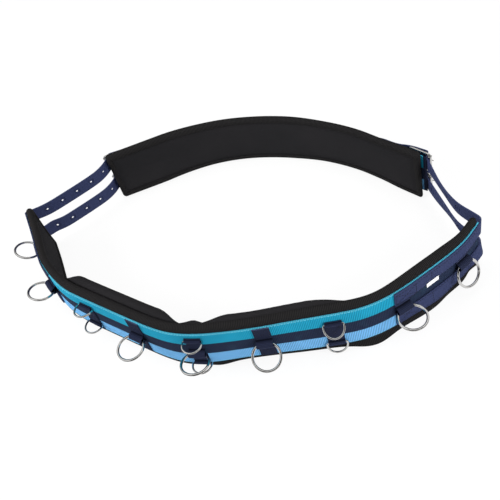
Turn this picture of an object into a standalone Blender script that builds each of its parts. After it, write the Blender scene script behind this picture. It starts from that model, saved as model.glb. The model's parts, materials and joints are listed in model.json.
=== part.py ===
"""Padded lungeing roller for a horse, buckled to its girth and standing on edge as a closed loop.

The soft pieces are modelled flat, as they would be cut: x runs along the belt, y outward from the
pad's outer face and z up. They are then wrapped round a belt line seen in plan. All layers share
that line's corners, so they stay parallel. Sizes are in millimetres and turn into metres on wrapping.
"""
import math

import bmesh
import bpy
from mathutils import Matrix, Vector
from mathutils.geometry import interpolate_bezier

MM = 0.001
GAP = 0.3

# Plan of the loop, with the middle of the roller at 0, 0 and the girth towards +Y.
ROLLER_PLAN = [(-369, 202), (-336, 160), (-290, 100), (-262, 77), (-229, 57), (-192, 44),
               (-116, 20), (-77, 8), (-37, -1), (0, 0), (40, 9), (117, 31), (193, 54), (232, 69),
               (264, 92), (292, 120), (344, 180), (363, 214), (369, 230)]
GIRTH_PLAN = [(278, 361), (244, 378), (170, 418), (92, 442), (13, 450),
              (-65, 443), (-140, 418), (-210, 383), (-272, 343)]
FREE_BILLET_RIGHT = [(372, 237), (363, 246), (344, 263), (332, 279), (317, 306), (301, 335)]
FREE_BILLET_LEFT = [(-373, 211), (-362, 219), (-347, 233), (-329, 254), (-292, 302), (-280, 325)]
PLAN_CENTRE = (-1.28, 203.09)
PLAN_RUNS = 23

# Roller and girth, from the outer face of the pad inward and outward.
FACET = 25.0
ROLLER_LEFT = 444.0
ROLLER_RIGHT = 452.0
ROLLER_HEIGHT = 100.0
GIRTH_HEIGHT = 95.0
GIRTH_END_FLAT = 114.0
LINING = 1.2
FOAM = 7.5
BACKING = 1.2
TAPE = 1.0
TAPE_LAP = 10.0
WEB_WIDTH = 75.0
WEB_THICK = 2.2
WEB_OVERRUN = 2.0
WITHERS_START = 15.0
WITHERS_END = 236.0
WITHERS_THICK = 18.0
WITHERS_MARGIN = 3.0
WITHERS_ROUNDING = 0.55
WITHERS_TAPER = 0.55

# Billets: two at each end of the roller, punched for the buckles on the girth.
BILLET_WIDTH = 25.0
BILLET_THICK = 2.0
BILLET_SPACING = 45.0
BILLET_SEWN_FROM = 284.0
BILLET_TAIL = 200.0
HOLE_DIAMETER = 5.0
HOLE_PITCH = 30.0
HOLES_OUTSIDE = 5
HOLES_INSIDE = 3

# Rings, dees and the tabs that hold them.
TABS_LEFT = (98.0, 196.5, 296.5, 393.0)
TABS_RIGHT = (98.0, 196.5, 296.5, 407.0)
TAB_FLAT = 26.0
TAB_WIDTH = 24.0
TAB_THICK = 1.6
TAB_FOLD_MARGIN = 1.0
RING_WIRE = 4.0
RING_OUTER = 44.5
DEE_WIRE = 3.0
DEE_INSIDE = 26.0
DEE_DROP = 20.0
DEE_SHOULDER = 4.0
DEE_CORNER = 1.2
LABEL_SIZE = (22.0, 7.0)
LABEL_THICK = 0.4
LABEL_AT = 348.0

# Roller buckles on the girth's outer face.
BUCKLE_REACH = 36.0
BUCKLE_INSIDE = 28.4
BUCKLE_WIRE = 3.6
BUCKLE_CORNER = 3.0
BUCKLE_ROLLER = 7.0
BUCKLE_ROLLER_LENGTH = 25.6
TONGUE_WIRE = 2.6
TONGUE_TIP = 3.5
BUCKLE_PLY = 1.5
BUCKLE_CHAPE_LENGTH = 88.0
BUCKLE_CHAPE_SLOT = (18.0, 6.4)
BUCKLE_START_RIGHT = -10.0
BUCKLE_START_LEFT = -4.0
BILLET_WRAP_START = -62.0
BILLET_WRAP_END = -20.0
BILLET_TO_TONGUE = 7.5
BILLET_PAST_TONGUE = 0.9
BILLET_TOP_BEND = 4.0
BILLET_OVER_BUCKLE = 40.0
BILLET_ABOVE_BUCKLE = 6.6
BILLET_DOWN_AT = 60.0
BILLET_STEP = 10.0

PAD_THICK = LINING + FOAM + BACKING + 2 * GAP
WEB_FACE = GAP + WEB_THICK
ON_WEB = WEB_FACE + GAP
ROLLER_MID = ROLLER_HEIGHT / 2
GIRTH_MID = GIRTH_HEIGHT / 2
BILLET_DROP = ROLLER_MID - GIRTH_MID
BUCKLE_AXIS = ON_WEB + BILLET_THICK + GAP + BUCKLE_ROLLER / 2
BILLET_ROUND_ROLLER = BUCKLE_ROLLER / 2 + GAP + BILLET_THICK / 2

BLACK_PAD = ((0.020, 0.020, 0.023), 0.85, 0.0)
BLACK_TAPE = ((0.028, 0.028, 0.032), 0.80, 0.0)
FOAM_GREY = ((0.16, 0.16, 0.17), 0.95, 0.0)
WEB_TEAL = ((0.03, 0.30, 0.36), 0.80, 0.0)
NAVY = ((0.022, 0.030, 0.085), 0.80, 0.0)
NICKEL = ((0.72, 0.71, 0.69), 0.22, 1.0)
LABEL_WHITE = ((0.85, 0.85, 0.84), 0.60, 0.0)


class BeltLine:
    """Corner points in plan, with mitred offsets so that every layer keeps its distance."""

    def __init__(self, corners, start, stations=None):
        self.corners = [Vector(c) for c in corners]
        self.at = stations or [start]
        if stations is None:
            for a, b in zip(self.corners, self.corners[1:]):
                self.at.append(self.at[-1] + (b - a).length)
        runs = [(b - a).normalized() for a, b in zip(self.corners, self.corners[1:])]
        self.normals = [Vector((t.y, -t.x)) for t in runs]
        first = [self.normals[0]] + self.normals
        second = self.normals + [self.normals[-1]]
        self.mitres = [(n + m) / (1 + n.dot(m)) for n, m in zip(first, second)]

    def run_at(self, x):
        last = len(self.at) - 2
        return next((i for i in range(last) if x < self.at[i + 1]), last)

    def plan(self, x, out):
        i = self.run_at(x)
        share = (x - self.at[i]) / (self.at[i + 1] - self.at[i])
        a = self.corners[i] + out * self.mitres[i]
        b = self.corners[i + 1] + out * self.mitres[i + 1]
        return a.lerp(b, share)

    def place(self, x, out, z):
        p = self.plan(x, out)
        return Vector((p.x - PLAN_CENTRE[0], p.y - PLAN_CENTRE[1], z)) * MM

    def frame(self, x, out, z):
        """Axes of a piece on the belt: X back along it, Y outward, Z up."""
        n = self.normals[self.run_at(x)]
        back = Vector((n.y, -n.x, 0))
        axes = Matrix((back, Vector((n.x, n.y, 0)), Vector((0, 0, 1)))).transposed()
        origin = self.place(x, 0, z) + axes.col[1] * out * MM
        return Matrix.Translation(origin) @ axes.to_4x4()


def smooth_line(points, steps=PLAN_RUNS + 1):
    """A smooth curve through the points, as many short runs."""
    pts = [Vector((p[0], p[1], 0)) for p in points]
    pts = [2 * pts[0] - pts[1]] + pts + [2 * pts[-1] - pts[-2]]
    line = []
    for a, b, c, d in zip(pts, pts[1:], pts[2:], pts[3:]):
        line += interpolate_bezier(b, b + (c - a) / 6, c - (d - b) / 6, c, steps)[:-1]
    return [p.xy for p in line + [pts[-2]]]


def corner_points(line, zero_index, stations):
    """Points of a smooth line at the given distances from one of its points."""
    dist = [0.0]
    for a, b in zip(line, line[1:]):
        dist.append(dist[-1] + (b - a).length)
    zero = dist[zero_index]
    corners = []
    for s in stations:
        i = next((k for k in range(len(line) - 2) if zero + s < dist[k + 1]), len(line) - 2)
        corners.append(line[i].lerp(line[i + 1], (zero + s - dist[i]) / (dist[i + 1] - dist[i])))
    return corners, dist[-1]


def roller_stations():
    """Corners along the roller: a flat where each tab is sewn and even facets between the flats."""
    tabs = [-t for t in reversed(TABS_LEFT)] + [0.0] + list(TABS_RIGHT)
    stations = [-ROLLER_LEFT]
    for first, last in [(t - TAB_FLAT / 2, t + TAB_FLAT / 2) for t in tabs] + [(ROLLER_RIGHT, None)]:
        start = stations[-1]
        count = max(1, round((first - start) / FACET))
        stations += [start + (first - start) * i / count for i in range(1, count + 1)]
        if last is not None:
            stations.append(last)
    return stations


def roller_line():
    stations = roller_stations()
    line = smooth_line(ROLLER_PLAN)
    zero = ROLLER_PLAN.index((0, 0)) * PLAN_RUNS
    corners, _ = corner_points(line, zero, stations)
    return BeltLine(corners, 0, stations)


def girth_line():
    """The girth from its right end to its left end, straight where the buckles are sewn."""
    line = smooth_line(GIRTH_PLAN)
    _, length = corner_points(line, 0, [0])
    bends = length - 2 * GIRTH_END_FLAT
    count = round(bends / FACET)
    stations = [0.0] + [GIRTH_END_FLAT + bends * i / count for i in range(count + 1)] + [length]
    corners, _ = corner_points(line, 0, stations)
    return BeltLine(corners, 0)


ROLLER = roller_line()
GIRTH = girth_line()
GIRTH_LENGTH = GIRTH.at[-1]


def clear_scene():
    for obj in list(bpy.data.objects):
        bpy.data.objects.remove(obj, do_unlink=True)


def collection(name):
    group = bpy.data.collections.new(name)
    bpy.context.scene.collection.children.link(group)
    return group


def material(name, look):
    colour, roughness, metallic = look
    mat = bpy.data.materials.new(name)
    mat.use_nodes = True
    shader = mat.node_tree.nodes["Principled BSDF"]
    shader.inputs["Base Color"].default_value = (*colour, 1)
    shader.inputs["Roughness"].default_value = roughness
    shader.inputs["Metallic"].default_value = metallic
    mat.diffuse_color = (*colour, 1)
    return mat


def add_object(name, mesh, look, group):
    obj = bpy.data.objects.new(name, mesh)
    obj.data.materials.append(material(name, look))
    group.objects.link(obj)
    return obj


def box(x, y, z):
    """A box in a new bmesh from its three ranges."""
    bm = bmesh.new()
    size = Vector((x[1] - x[0], y[1] - y[0], z[1] - z[0]))
    middle = Vector((x[0] + x[1], y[0] + y[1], z[0] + z[1])) / 2
    bmesh.ops.create_cube(bm, size=1, matrix=Matrix.Translation(middle) @ Matrix.Diagonal((*size, 1)))
    return bm


def rod(centre, radius, length, axis, sides=8):
    """A cylinder in a new bmesh along axis Y or Z."""
    turn = Matrix.Rotation(math.radians(90), 4, "X") if axis == "Y" else Matrix()
    bm = bmesh.new()
    bmesh.ops.create_cone(bm, cap_ends=True, segments=sides, radius1=radius, radius2=radius,
                          depth=length, matrix=Matrix.Translation(centre) @ turn)
    return bm


def face_outward(bm):
    bmesh.ops.recalc_face_normals(bm, faces=bm.faces)
    if bm.calc_volume(signed=True) < 0:
        bmesh.ops.reverse_faces(bm, faces=bm.faces)


def to_mesh(bm, name):
    face_outward(bm)
    mesh = bpy.data.meshes.new(name)
    bm.to_mesh(mesh)
    bm.free()
    return mesh


def cut(obj, cutters, group):
    """Subtract each cutter mesh from the object and keep the result as its mesh."""
    for i, bm in enumerate(cutters):
        tool = bpy.data.objects.new(f"{obj.name}_cut_{i}", to_mesh(bm, f"{obj.name}_cut_{i}"))
        tool.hide_render = True
        tool.display_type = "WIRE"
        group.objects.link(tool)
        mod = obj.modifiers.new(tool.name, "BOOLEAN")
        mod.operation = "DIFFERENCE"
        mod.solver = "EXACT"
        mod.object = tool
    bake(obj)


def bake(obj):
    """Apply an object's modifiers, or turn a curve into a mesh."""
    bpy.context.view_layer.update()
    graph = bpy.context.evaluated_depsgraph_get()
    mesh = bpy.data.meshes.new_from_object(obj.evaluated_get(graph))
    if obj.type == "MESH":
        obj.modifiers.clear()
        obj.data = mesh
    return mesh


def seal(obj):
    """Weld end caps to their walls and turn every face outward."""
    bm = bmesh.new()
    bm.from_mesh(obj.data)
    bmesh.ops.remove_doubles(bm, verts=bm.verts, dist=1e-6)
    face_outward(bm)
    bm.to_mesh(obj.data)
    bm.free()


def wrap(obj, line, shift=None):
    """Slice a flat piece at the belt line's corners and lay it round the line."""
    bm = bmesh.new()
    bm.from_mesh(obj.data)
    for x in line.at[1:-1]:
        everything = bm.verts[:] + bm.edges[:] + bm.faces[:]
        bmesh.ops.bisect_plane(bm, geom=everything, dist=1e-4, plane_co=(x, 0, 0), plane_no=(1, 0, 0))
    for v in bm.verts:
        down = shift(v.co.x) if shift else 0.0
        v.co = line.place(v.co.x, v.co.y, v.co.z - down)
    face_outward(bm)
    bm.to_mesh(obj.data)
    bm.free()
    return obj


def layer(name, line, ends, out, height, look, group):
    """One flat layer of the belt, from end to end."""
    obj = add_object(name, to_mesh(box(ends, out, height), name), look, group)
    return wrap(obj, line)


def pad(name, line, ends, height, parts, cutters):
    """Lining, foam and backing, with a tape folded over the edge all round."""
    low, high = TAPE + GAP, height - TAPE - GAP
    backing = (-BACKING, 0)
    foam = (backing[0] - GAP - FOAM, backing[0] - GAP)
    lining = (-PAD_THICK, foam[0] - GAP)
    layer(f"{name}_lining", line, ends, lining, (low, high), BLACK_PAD, parts)
    layer(f"{name}_foam", line, ends, foam, (low, high), FOAM_GREY, parts)
    layer(f"{name}_backing", line, ends, backing, (low, high), BLACK_PAD, parts)

    reach = TAPE + GAP
    whole = box((ends[0] - reach, ends[1] + reach), (-PAD_THICK - reach, reach), (0, height))
    tape = add_object(f"{name}_binding", to_mesh(whole, f"{name}_binding"), BLACK_TAPE, parts)
    core = box((ends[0] - GAP, ends[1] + GAP), (-PAD_THICK - GAP, GAP), (TAPE, height - TAPE))
    window = (TAPE_LAP, height - TAPE_LAP)
    inside = box((ends[0] + TAPE_LAP, ends[1] - TAPE_LAP), (-PAD_THICK - 9, -PAD_THICK / 2), window)
    lap = min(TAPE_LAP, (height - WEB_WIDTH) / 2 - GAP)
    outside = box((ends[0] - 9, ends[1] + 9), (-BACKING / 2, 9), (lap, height - lap))
    cut(tape, [core, inside, outside], cutters)
    wrap(tape, line)


def withers_pad(name, side, parts):
    """A thick cushion inside the roller, beside the spine, thinner towards its ends."""
    near = -PAD_THICK - TAPE - 2 * GAP
    ends = sorted((side * WITHERS_START, side * WITHERS_END))
    bm = box(ends, (near - WITHERS_THICK, near),
             (WITHERS_MARGIN, ROLLER_HEIGHT - WITHERS_MARGIN))
    for x in ROLLER.at:
        everything = bm.verts[:] + bm.edges[:] + bm.faces[:]
        bmesh.ops.bisect_plane(bm, geom=everything, dist=1e-4, plane_co=(x, 0, 0), plane_no=(1, 0, 0))
    rims = [e for e in bm.edges if abs(e.verts[0].co.x - e.verts[1].co.x) > 1
            and max(v.co.y for v in e.verts) < near - 1]
    bmesh.ops.bevel(bm, geom=rims, offset=WITHERS_THICK * WITHERS_ROUNDING, segments=2, profile=0.5,
                    affect="EDGES")
    middle = sum(ends) / 2
    half = (ends[1] - ends[0]) / 2
    for v in bm.verts:
        across = abs(v.co.x - middle) / half
        v.co.y = near + (v.co.y - near) * (1 - WITHERS_TAPER * across ** 4)
    obj = add_object(name, to_mesh(bm, name), BLACK_PAD, parts)
    wrap(obj, ROLLER)


def wire(name, points, diameter, closed, look, parts, frame, sides=2):
    """A bent wire through points given in the piece's own frame, with its origin there."""
    curve = bpy.data.curves.new(name, "CURVE")
    curve.dimensions = "3D"
    curve.bevel_depth = diameter / 2 * MM
    curve.bevel_resolution = sides
    curve.use_fill_caps = True
    spline = curve.splines.new("POLY")
    spline.points.add(len(points) - 1)
    for p, q in zip(spline.points, points):
        p.co = (*(Vector(q) * MM), 1)
    spline.use_cyclic_u = closed
    bent = bpy.data.objects.new(f"{name}_wire", curve)
    parts.objects.link(bent)
    obj = add_object(name, bake(bent), look, parts)
    bpy.data.objects.remove(bent)
    bpy.data.curves.remove(curve)
    seal(obj)
    obj.matrix_world = frame
    return obj


def arc(centre, radius, first, last, count):
    """Points of an arc in the plane of the last two axes, angles in degrees from outward."""
    turns = [math.radians(first + (last - first) * i / count) for i in range(count + 1)]
    return [(centre[0] + radius * math.cos(t), centre[1] + radius * math.sin(t)) for t in turns]


def ribbon(name, profile, width, thick, look, frame, parts):
    """A strip of the given width whose inner face follows a profile of outward and up positions."""
    bm = bmesh.new()
    rows = []
    for x in (-width / 2, width / 2):
        rows.append([bm.verts.new((x, y, z)) for y, z in profile])
    edges = [bm.edges.new(pair) for row in rows for pair in zip(row, row[1:])]
    edges += [bm.edges.new((rows[0][0], rows[1][0])), bm.edges.new((rows[0][-1], rows[1][-1]))]
    bmesh.ops.bridge_loops(bm, edges=[e for e in edges if abs(e.verts[0].co.x - e.verts[1].co.x) < 1])
    bm.normal_update()
    bmesh.ops.scale(bm, vec=(MM, MM, MM), verts=bm.verts)
    mesh = bpy.data.meshes.new(name)
    bm.to_mesh(mesh)
    bm.free()
    obj = add_object(name, mesh, look, parts)
    mod = obj.modifiers.new("Thickness", "SOLIDIFY")
    mod.thickness = thick * MM
    mod.offset = 1.0
    mod.use_even_offset = True
    bake(obj)
    seal(obj)
    obj.matrix_world = frame
    return obj


RING_RADIUS = (RING_OUTER - RING_WIRE) / 2
RING_RUNS = 20


def ring_seat():
    """How far a round ring's turning axis is from its middle, and how far its wire swings there."""
    inner = (RING_RADIUS - RING_WIRE / 2) * math.cos(math.pi / RING_RUNS)
    top = RING_RADIUS + RING_WIRE / 2
    low = math.sqrt(inner ** 2 - (TAB_WIDTH / 2) ** 2)
    return (top + low) / 2, (top - low) / 2


HUMP_RUNS = 6
HUMP_FLATS = math.cos(math.radians(90 / HUMP_RUNS))
RING_ARM, RING_SWEEP = ring_seat()
RING_TUNNEL = (RING_SWEEP + GAP) / HUMP_FLATS
DEE_TUNNEL = (DEE_WIRE / 2 + GAP) / HUMP_FLATS
RING_AXIS = ON_WEB + RING_TUNNEL
DEE_AXIS = ON_WEB + DEE_TUNNEL


def tab_profile(low, high, seats):
    """Flat on the webbing from low to high, humped over each seat (height, tunnel radius)."""
    profile = [(ON_WEB, low)]
    for z, radius in seats:
        hump = arc((ON_WEB + radius, z), radius, -90, 90, HUMP_RUNS)
        profile += [(ON_WEB, z - radius)] + hump + [(ON_WEB, z + radius)]
    return profile + [(ON_WEB, high)]


def tab(name, x, low, high, seats, parts):
    ribbon(name, tab_profile(low, high, seats), TAB_WIDTH, TAB_THICK, NAVY,
           ROLLER.frame(x, 0, 0), parts)


def hinge_frame(x, out, z, tilt):
    """Origin on the turning axis; the piece hangs along -Z, tilted outward from the belt."""
    return ROLLER.frame(x, out, z) @ Matrix.Rotation(math.radians(tilt), 4, "X")


def ring(name, x, z, tilt, parts):
    turns = [2 * math.pi * i / RING_RUNS for i in range(RING_RUNS)]
    loop = [(RING_RADIUS * math.sin(t), 0, RING_RADIUS * math.cos(t) - RING_ARM) for t in turns]
    wire(name, loop, RING_WIRE, True, NICKEL, parts, hinge_frame(x, RING_AXIS, z, tilt))


def dee(name, x, z, tilt, parts):
    half = (DEE_INSIDE + DEE_WIRE) / 2
    bow = [math.radians(i * 180 / 10) for i in range(11)]
    rise = DEE_DROP - DEE_SHOULDER
    loop = [(half * math.cos(t), 0, -DEE_SHOULDER - rise * math.sin(t)) for t in bow]
    corner = half - DEE_CORNER
    loop += [(-half, 0, -DEE_CORNER), (-corner, 0, 0), (corner, 0, 0), (half, 0, -DEE_CORNER)]
    wire(name, loop, DEE_WIRE, True, NICKEL, parts, hinge_frame(x, DEE_AXIS, z, tilt))


# Each ring and dee: its tab counted from the middle, its height and its tilt as it rests.
RINGS = {
    "ring_centre": (0, 46, 100),
    "ring_left_1": (-1, 50, 84),
    "ring_right_1": (1, 51, 60),
    "ring_left_3": (-3, 50, 105),
    "ring_right_3": (3, 50, 86),
    "ring_left_4": (-4, 50, 114),
    "ring_right_4": (4, 50, 28),
}
DEES = {
    "dee_centre_upper": (0, 75, 90),
    "dee_centre_lower": (0, 18, 95),
    "dee_left_2_upper": (-2, 69, 96),
    "dee_left_2_lower": (-2, 26, 92),
    "dee_right_2_upper": (2, 69, 56),
    "dee_right_2_lower": (2, 23, 12),
}


def tab_at(step):
    """Distance along the roller of a tab counted from the middle, negative to the left."""
    if step == 0:
        return 0.0
    return TABS_RIGHT[step - 1] if step > 0 else -TABS_LEFT[-step - 1]


def rings_and_tabs(parts):
    for name, (step, z, tilt) in RINGS.items():
        ring(name, tab_at(step), z, tilt, parts)
    for name, (step, z, tilt) in DEES.items():
        dee(name, tab_at(step), z, tilt, parts)
    low, high = ROLLER_MID - WEB_WIDTH / 2 + 1, ROLLER_MID + WEB_WIDTH / 2 - 1
    upper, middle, lower = (DEES["dee_centre_upper"][1], RINGS["ring_centre"][1],
                            DEES["dee_centre_lower"][1])
    over_dee = DEE_TUNNEL + TAB_THICK + TAB_FOLD_MARGIN
    tab("centre_tab", 0, low - 2, upper + over_dee,
        [(lower, DEE_TUNNEL), (middle, RING_TUNNEL), (upper, DEE_TUNNEL)], parts)
    gap_low = ROLLER_MID - (BILLET_SPACING - BILLET_WIDTH) / 2 + GAP
    gap_high = ROLLER_MID + (BILLET_SPACING - BILLET_WIDTH) / 2 - GAP
    for side, step in (("left", -1), ("right", 1)):
        tab(f"tab_{side}_1", tab_at(step), low, high,
            [(RINGS[f"ring_{side}_1"][1], RING_TUNNEL)], parts)
        lower, upper = DEES[f"dee_{side}_2_lower"][1], DEES[f"dee_{side}_2_upper"][1]
        tab(f"tab_{side}_2", tab_at(2 * step), low, upper + over_dee,
            [(lower, DEE_TUNNEL), (upper, DEE_TUNNEL)], parts)
        for n in (3, 4):
            tab(f"ring_chape_{side}_{n}", tab_at(n * step), gap_low, gap_high,
                [(RINGS[f"ring_{side}_{n}"][1], RING_TUNNEL)], parts)


def buckle_place(side, u, out):
    """Plan point at a distance u inboard of the girth's end and out from the pad's outer face."""
    x = u if side > 0 else GIRTH_LENGTH - u
    if u > GIRTH_END_FLAT:
        return GIRTH.plan(x, out)
    return GIRTH.plan(x, 0) + out * GIRTH.normals[GIRTH.run_at(x)]


def buckle_start(side):
    return BUCKLE_START_RIGHT if side > 0 else BUCKLE_START_LEFT


def billet_buckle_route(side):
    """The billet's middle line on the girth: under the roller, up over the tongue, then flat."""
    u0 = buckle_start(side)
    under = arc((u0, BUCKLE_AXIS), BILLET_ROUND_ROLLER, BILLET_WRAP_START, BILLET_WRAP_END, 3)
    rise = math.radians(BILLET_WRAP_END)
    leave = Vector(under[-1])
    upward = Vector((-math.sin(rise), math.cos(rise)))
    at_tongue = leave + upward * BILLET_TO_TONGUE
    top_start = at_tongue + upward * BILLET_PAST_TONGUE
    top_centre = top_start + BILLET_TOP_BEND * Vector((upward.y, -upward.x))
    over = [tuple(at_tongue)] + arc(top_centre, BILLET_TOP_BEND, BILLET_WRAP_END + 180, 90, 3)
    on_chape = ON_WEB + 2 * BUCKLE_PLY + 2 * GAP + BILLET_THICK / 2
    on_girth = ON_WEB + BILLET_THICK / 2
    chape_end = u0 + BUCKLE_CHAPE_LENGTH
    tail_end = u0 + BILLET_TAIL
    on_web = chape_end + BILLET_STEP
    bends = [u for u in GIRTH.at if on_web < u < tail_end]
    flat = [(u0 + BILLET_OVER_BUCKLE, BUCKLE_AXIS + BILLET_ABOVE_BUCKLE),
            (u0 + BILLET_DOWN_AT, on_chape), (chape_end, on_chape)]
    flat += [(u, on_girth) for u in [on_web] + bends + [tail_end]]
    return under + over + flat, len(under)


def billet_line(side):
    """The billet from its sewn end on the roller to its tail on the girth."""
    half = BILLET_THICK / 2
    sewn = [s for s in ROLLER.at if s * side > BILLET_SEWN_FROM]
    clear_of_webbing = (ROLLER_RIGHT if side > 0 else ROLLER_LEFT) + WEB_OVERRUN + 3
    sewn = sorted(sewn + [side * BILLET_SEWN_FROM, side * clear_of_webbing], key=abs)
    on_roller = [ROLLER.plan(s, ON_WEB + half) for s in sewn]
    free = FREE_BILLET_RIGHT if side > 0 else FREE_BILLET_LEFT
    route, hole_at = billet_buckle_route(side)
    on_girth = [buckle_place(side, u, out) for u, out in route]
    bend = smooth_line([on_roller[-1]] + free + [on_girth[0]], 4)[1:-1]
    corners = on_roller + bend + on_girth
    if side < 0:
        corners = corners[::-1]
    line = BeltLine(corners, 0)
    hole = len(on_roller) + len(bend) + hole_at
    if side < 0:
        hole = len(corners) - 1 - hole
    drop_from = len(on_roller) - 1 if side > 0 else len(corners) - len(on_roller)
    drop_to = len(on_roller) + len(bend) if side > 0 else len(corners) - 1 - len(on_roller) - len(bend)
    return line, line.at[hole], line.at[drop_from], line.at[drop_to]


def billet(name, side, z, parts, cutters):
    line, hole, drop_from, drop_to = billet_line(side)
    half = BILLET_THICK / 2
    flat = box((0, line.at[-1]), (-half, half), (z - BILLET_WIDTH / 2, z + BILLET_WIDTH / 2))
    obj = add_object(name, to_mesh(flat, name), NAVY, parts)
    holes = bmesh.new()
    for i in range(-HOLES_OUTSIDE, HOLES_INSIDE + 1):
        one = rod((hole + side * i * HOLE_PITCH, 0, z), HOLE_DIAMETER / 2, 9, "Y")
        mesh = to_mesh(one, "hole")
        holes.from_mesh(mesh)
        bpy.data.meshes.remove(mesh)
    cut(obj, [holes], cutters)

    def lower(x):
        share = (x - drop_from) / (drop_to - drop_from)
        return BILLET_DROP * min(1.0, max(0.0, share))

    wrap(obj, line, lower)


def girth_frame(side, u, out, z):
    """Axes on the girth's straight end: X inboard, Y outward, Z along the strap's width."""
    x = u if side > 0 else GIRTH_LENGTH - u
    frame = GIRTH.frame(x, out, z)
    return frame if side < 0 else frame @ Matrix.Rotation(math.radians(180), 4, "Y")


def buckle(tag, side, z, parts, cutters):
    u0 = buckle_start(side)
    half = (BUCKLE_INSIDE + BUCKLE_WIRE) / 2
    pivot = u0 + BUCKLE_REACH
    corner = BUCKLE_CORNER
    frame_loop = []
    for cx, cz, first in ((BUCKLE_REACH, half, 0), (0, half, 90), (0, -half, 180),
                          (BUCKLE_REACH, -half, 270)):
        centre = (cx + (corner if cx == 0 else -corner), cz + (corner if cz < 0 else -corner))
        frame_loop += [(x, 0, h) for x, h in arc(centre, corner, first, first + 90, 2)]
    wire(f"buckle_frame_{tag}", frame_loop, BUCKLE_WIRE, True, NICKEL, parts,
         girth_frame(side, u0, BUCKLE_AXIS, z))

    tube = rod((0, 0, 0), BUCKLE_ROLLER / 2 * MM, BUCKLE_ROLLER_LENGTH * MM, "Z", 12)
    spin = add_object(f"buckle_roller_{tag}", to_mesh(tube, "roller"), NICKEL, parts)
    bore = rod((0, 0, 0), (BUCKLE_WIRE / 2 + GAP) * MM, BUCKLE_ROLLER_LENGTH * 2 * MM, "Z", 12)
    cut(spin, [bore], cutters)
    spin.matrix_world = girth_frame(side, u0, BUCKLE_AXIS, z)

    eye = (BUCKLE_WIRE + TONGUE_WIRE) / 2 + GAP
    tip_rise = BUCKLE_ROLLER / 2 + GAP + TONGUE_WIRE / 2
    tongue = [(x, y, 0) for x, y in arc((0, 0), eye, -190, 95, 10)]
    root = Vector(tongue[-1])
    over_roller = Vector((-BUCKLE_REACH, tip_rise, 0))
    tongue.append(over_roller + (over_roller - root).normalized() * TONGUE_TIP)
    wire(f"buckle_tongue_{tag}", tongue, TONGUE_WIRE, False, NICKEL, parts,
         girth_frame(side, pivot, BUCKLE_AXIS, z), 1)

    bend = BUCKLE_WIRE / 2 + GAP
    low_ply = ON_WEB + BUCKLE_PLY - BUCKLE_AXIS
    high_ply = low_ply + GAP
    end = BUCKLE_CHAPE_LENGTH - BUCKLE_REACH - 3
    fold = [(end, low_ply), (16, low_ply), (4, -bend)] + arc((0, 0), bend, -90, -270, 6)
    fold += [(3, bend), (20, high_ply), (end, high_ply)]
    chape = ribbon(f"buckle_chape_{tag}", [(-x, y) for x, y in fold], BILLET_WIDTH, BUCKLE_PLY, NAVY,
                   Matrix(), parts)
    lay = Matrix(((0, -1, 0, 0), (0, 0, 1, 0), (-1, 0, 0, 0), (0, 0, 0, 1)))
    chape.data.transform(lay)
    reach, width = (size / 2 * MM for size in BUCKLE_CHAPE_SLOT)
    slot = box((-reach, reach), (-reach, reach), (-width, width))
    cut(chape, [slot], cutters)
    chape.matrix_world = girth_frame(side, pivot, BUCKLE_AXIS, z)


def label(parts):
    """A bare white label at the lower edge of the upper right billet, between two rings."""
    x = LABEL_AT
    low = ROLLER_MID + (BILLET_SPACING - BILLET_WIDTH) / 2
    face = ON_WEB + BILLET_THICK + GAP
    layer("label_bare", ROLLER, (x - LABEL_SIZE[0] / 2, x + LABEL_SIZE[0] / 2), (face, face + LABEL_THICK),
          (low, low + LABEL_SIZE[1]), LABEL_WHITE, parts)


def main():
    clear_scene()
    parts = collection("lungeing_roller")
    cutters = collection("cutters")

    ends = (-ROLLER_LEFT, ROLLER_RIGHT)
    pad("roller", ROLLER, ends, ROLLER_HEIGHT, parts, cutters)
    withers_pad("withers_pad_left", -1, parts)
    withers_pad("withers_pad_right", 1, parts)
    web = (ROLLER_MID - WEB_WIDTH / 2, ROLLER_MID + WEB_WIDTH / 2)
    layer("roller_webbing", ROLLER, (ends[0] - WEB_OVERRUN, ends[1] + WEB_OVERRUN), (GAP, WEB_FACE),
          web, WEB_TEAL, parts)

    pad("girth", GIRTH, (0, GIRTH_LENGTH), GIRTH_HEIGHT, parts, cutters)
    web = (GIRTH_MID - WEB_WIDTH / 2, GIRTH_MID + WEB_WIDTH / 2)
    layer("girth_webbing", GIRTH, (-WEB_OVERRUN, GIRTH_LENGTH + WEB_OVERRUN), (GAP, WEB_FACE),
          web, WEB_TEAL, parts)

    rings_and_tabs(parts)
    for side, side_name in ((-1, "left"), (1, "right")):
        for level, level_name in ((1, "upper"), (-1, "lower")):
            tag = f"{side_name}_{level_name}"
            rise = level * BILLET_SPACING / 2
            billet(f"billet_{tag}", side, ROLLER_MID + rise, parts, cutters)
            buckle(tag, side, GIRTH_MID + rise, parts, cutters)
    label(parts)


main()
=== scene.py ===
"""Looks of a padded lungeing roller buckled to its girth: pads, webbing, straps, stitching and metal.

Plan sizes are in millimetres, as in the solids, and turn into metres when a piece is placed. A piece of
the belt is laid out flat first: s runs along the belt, d outward from the pad's outer face and z up.
"""
import json
from math import ceil, cos, floor, pi, radians, sin, sqrt

import bmesh
import bpy
import numpy as np
from mathutils import Matrix, Vector
from mathutils.geometry import interpolate_bezier

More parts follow.
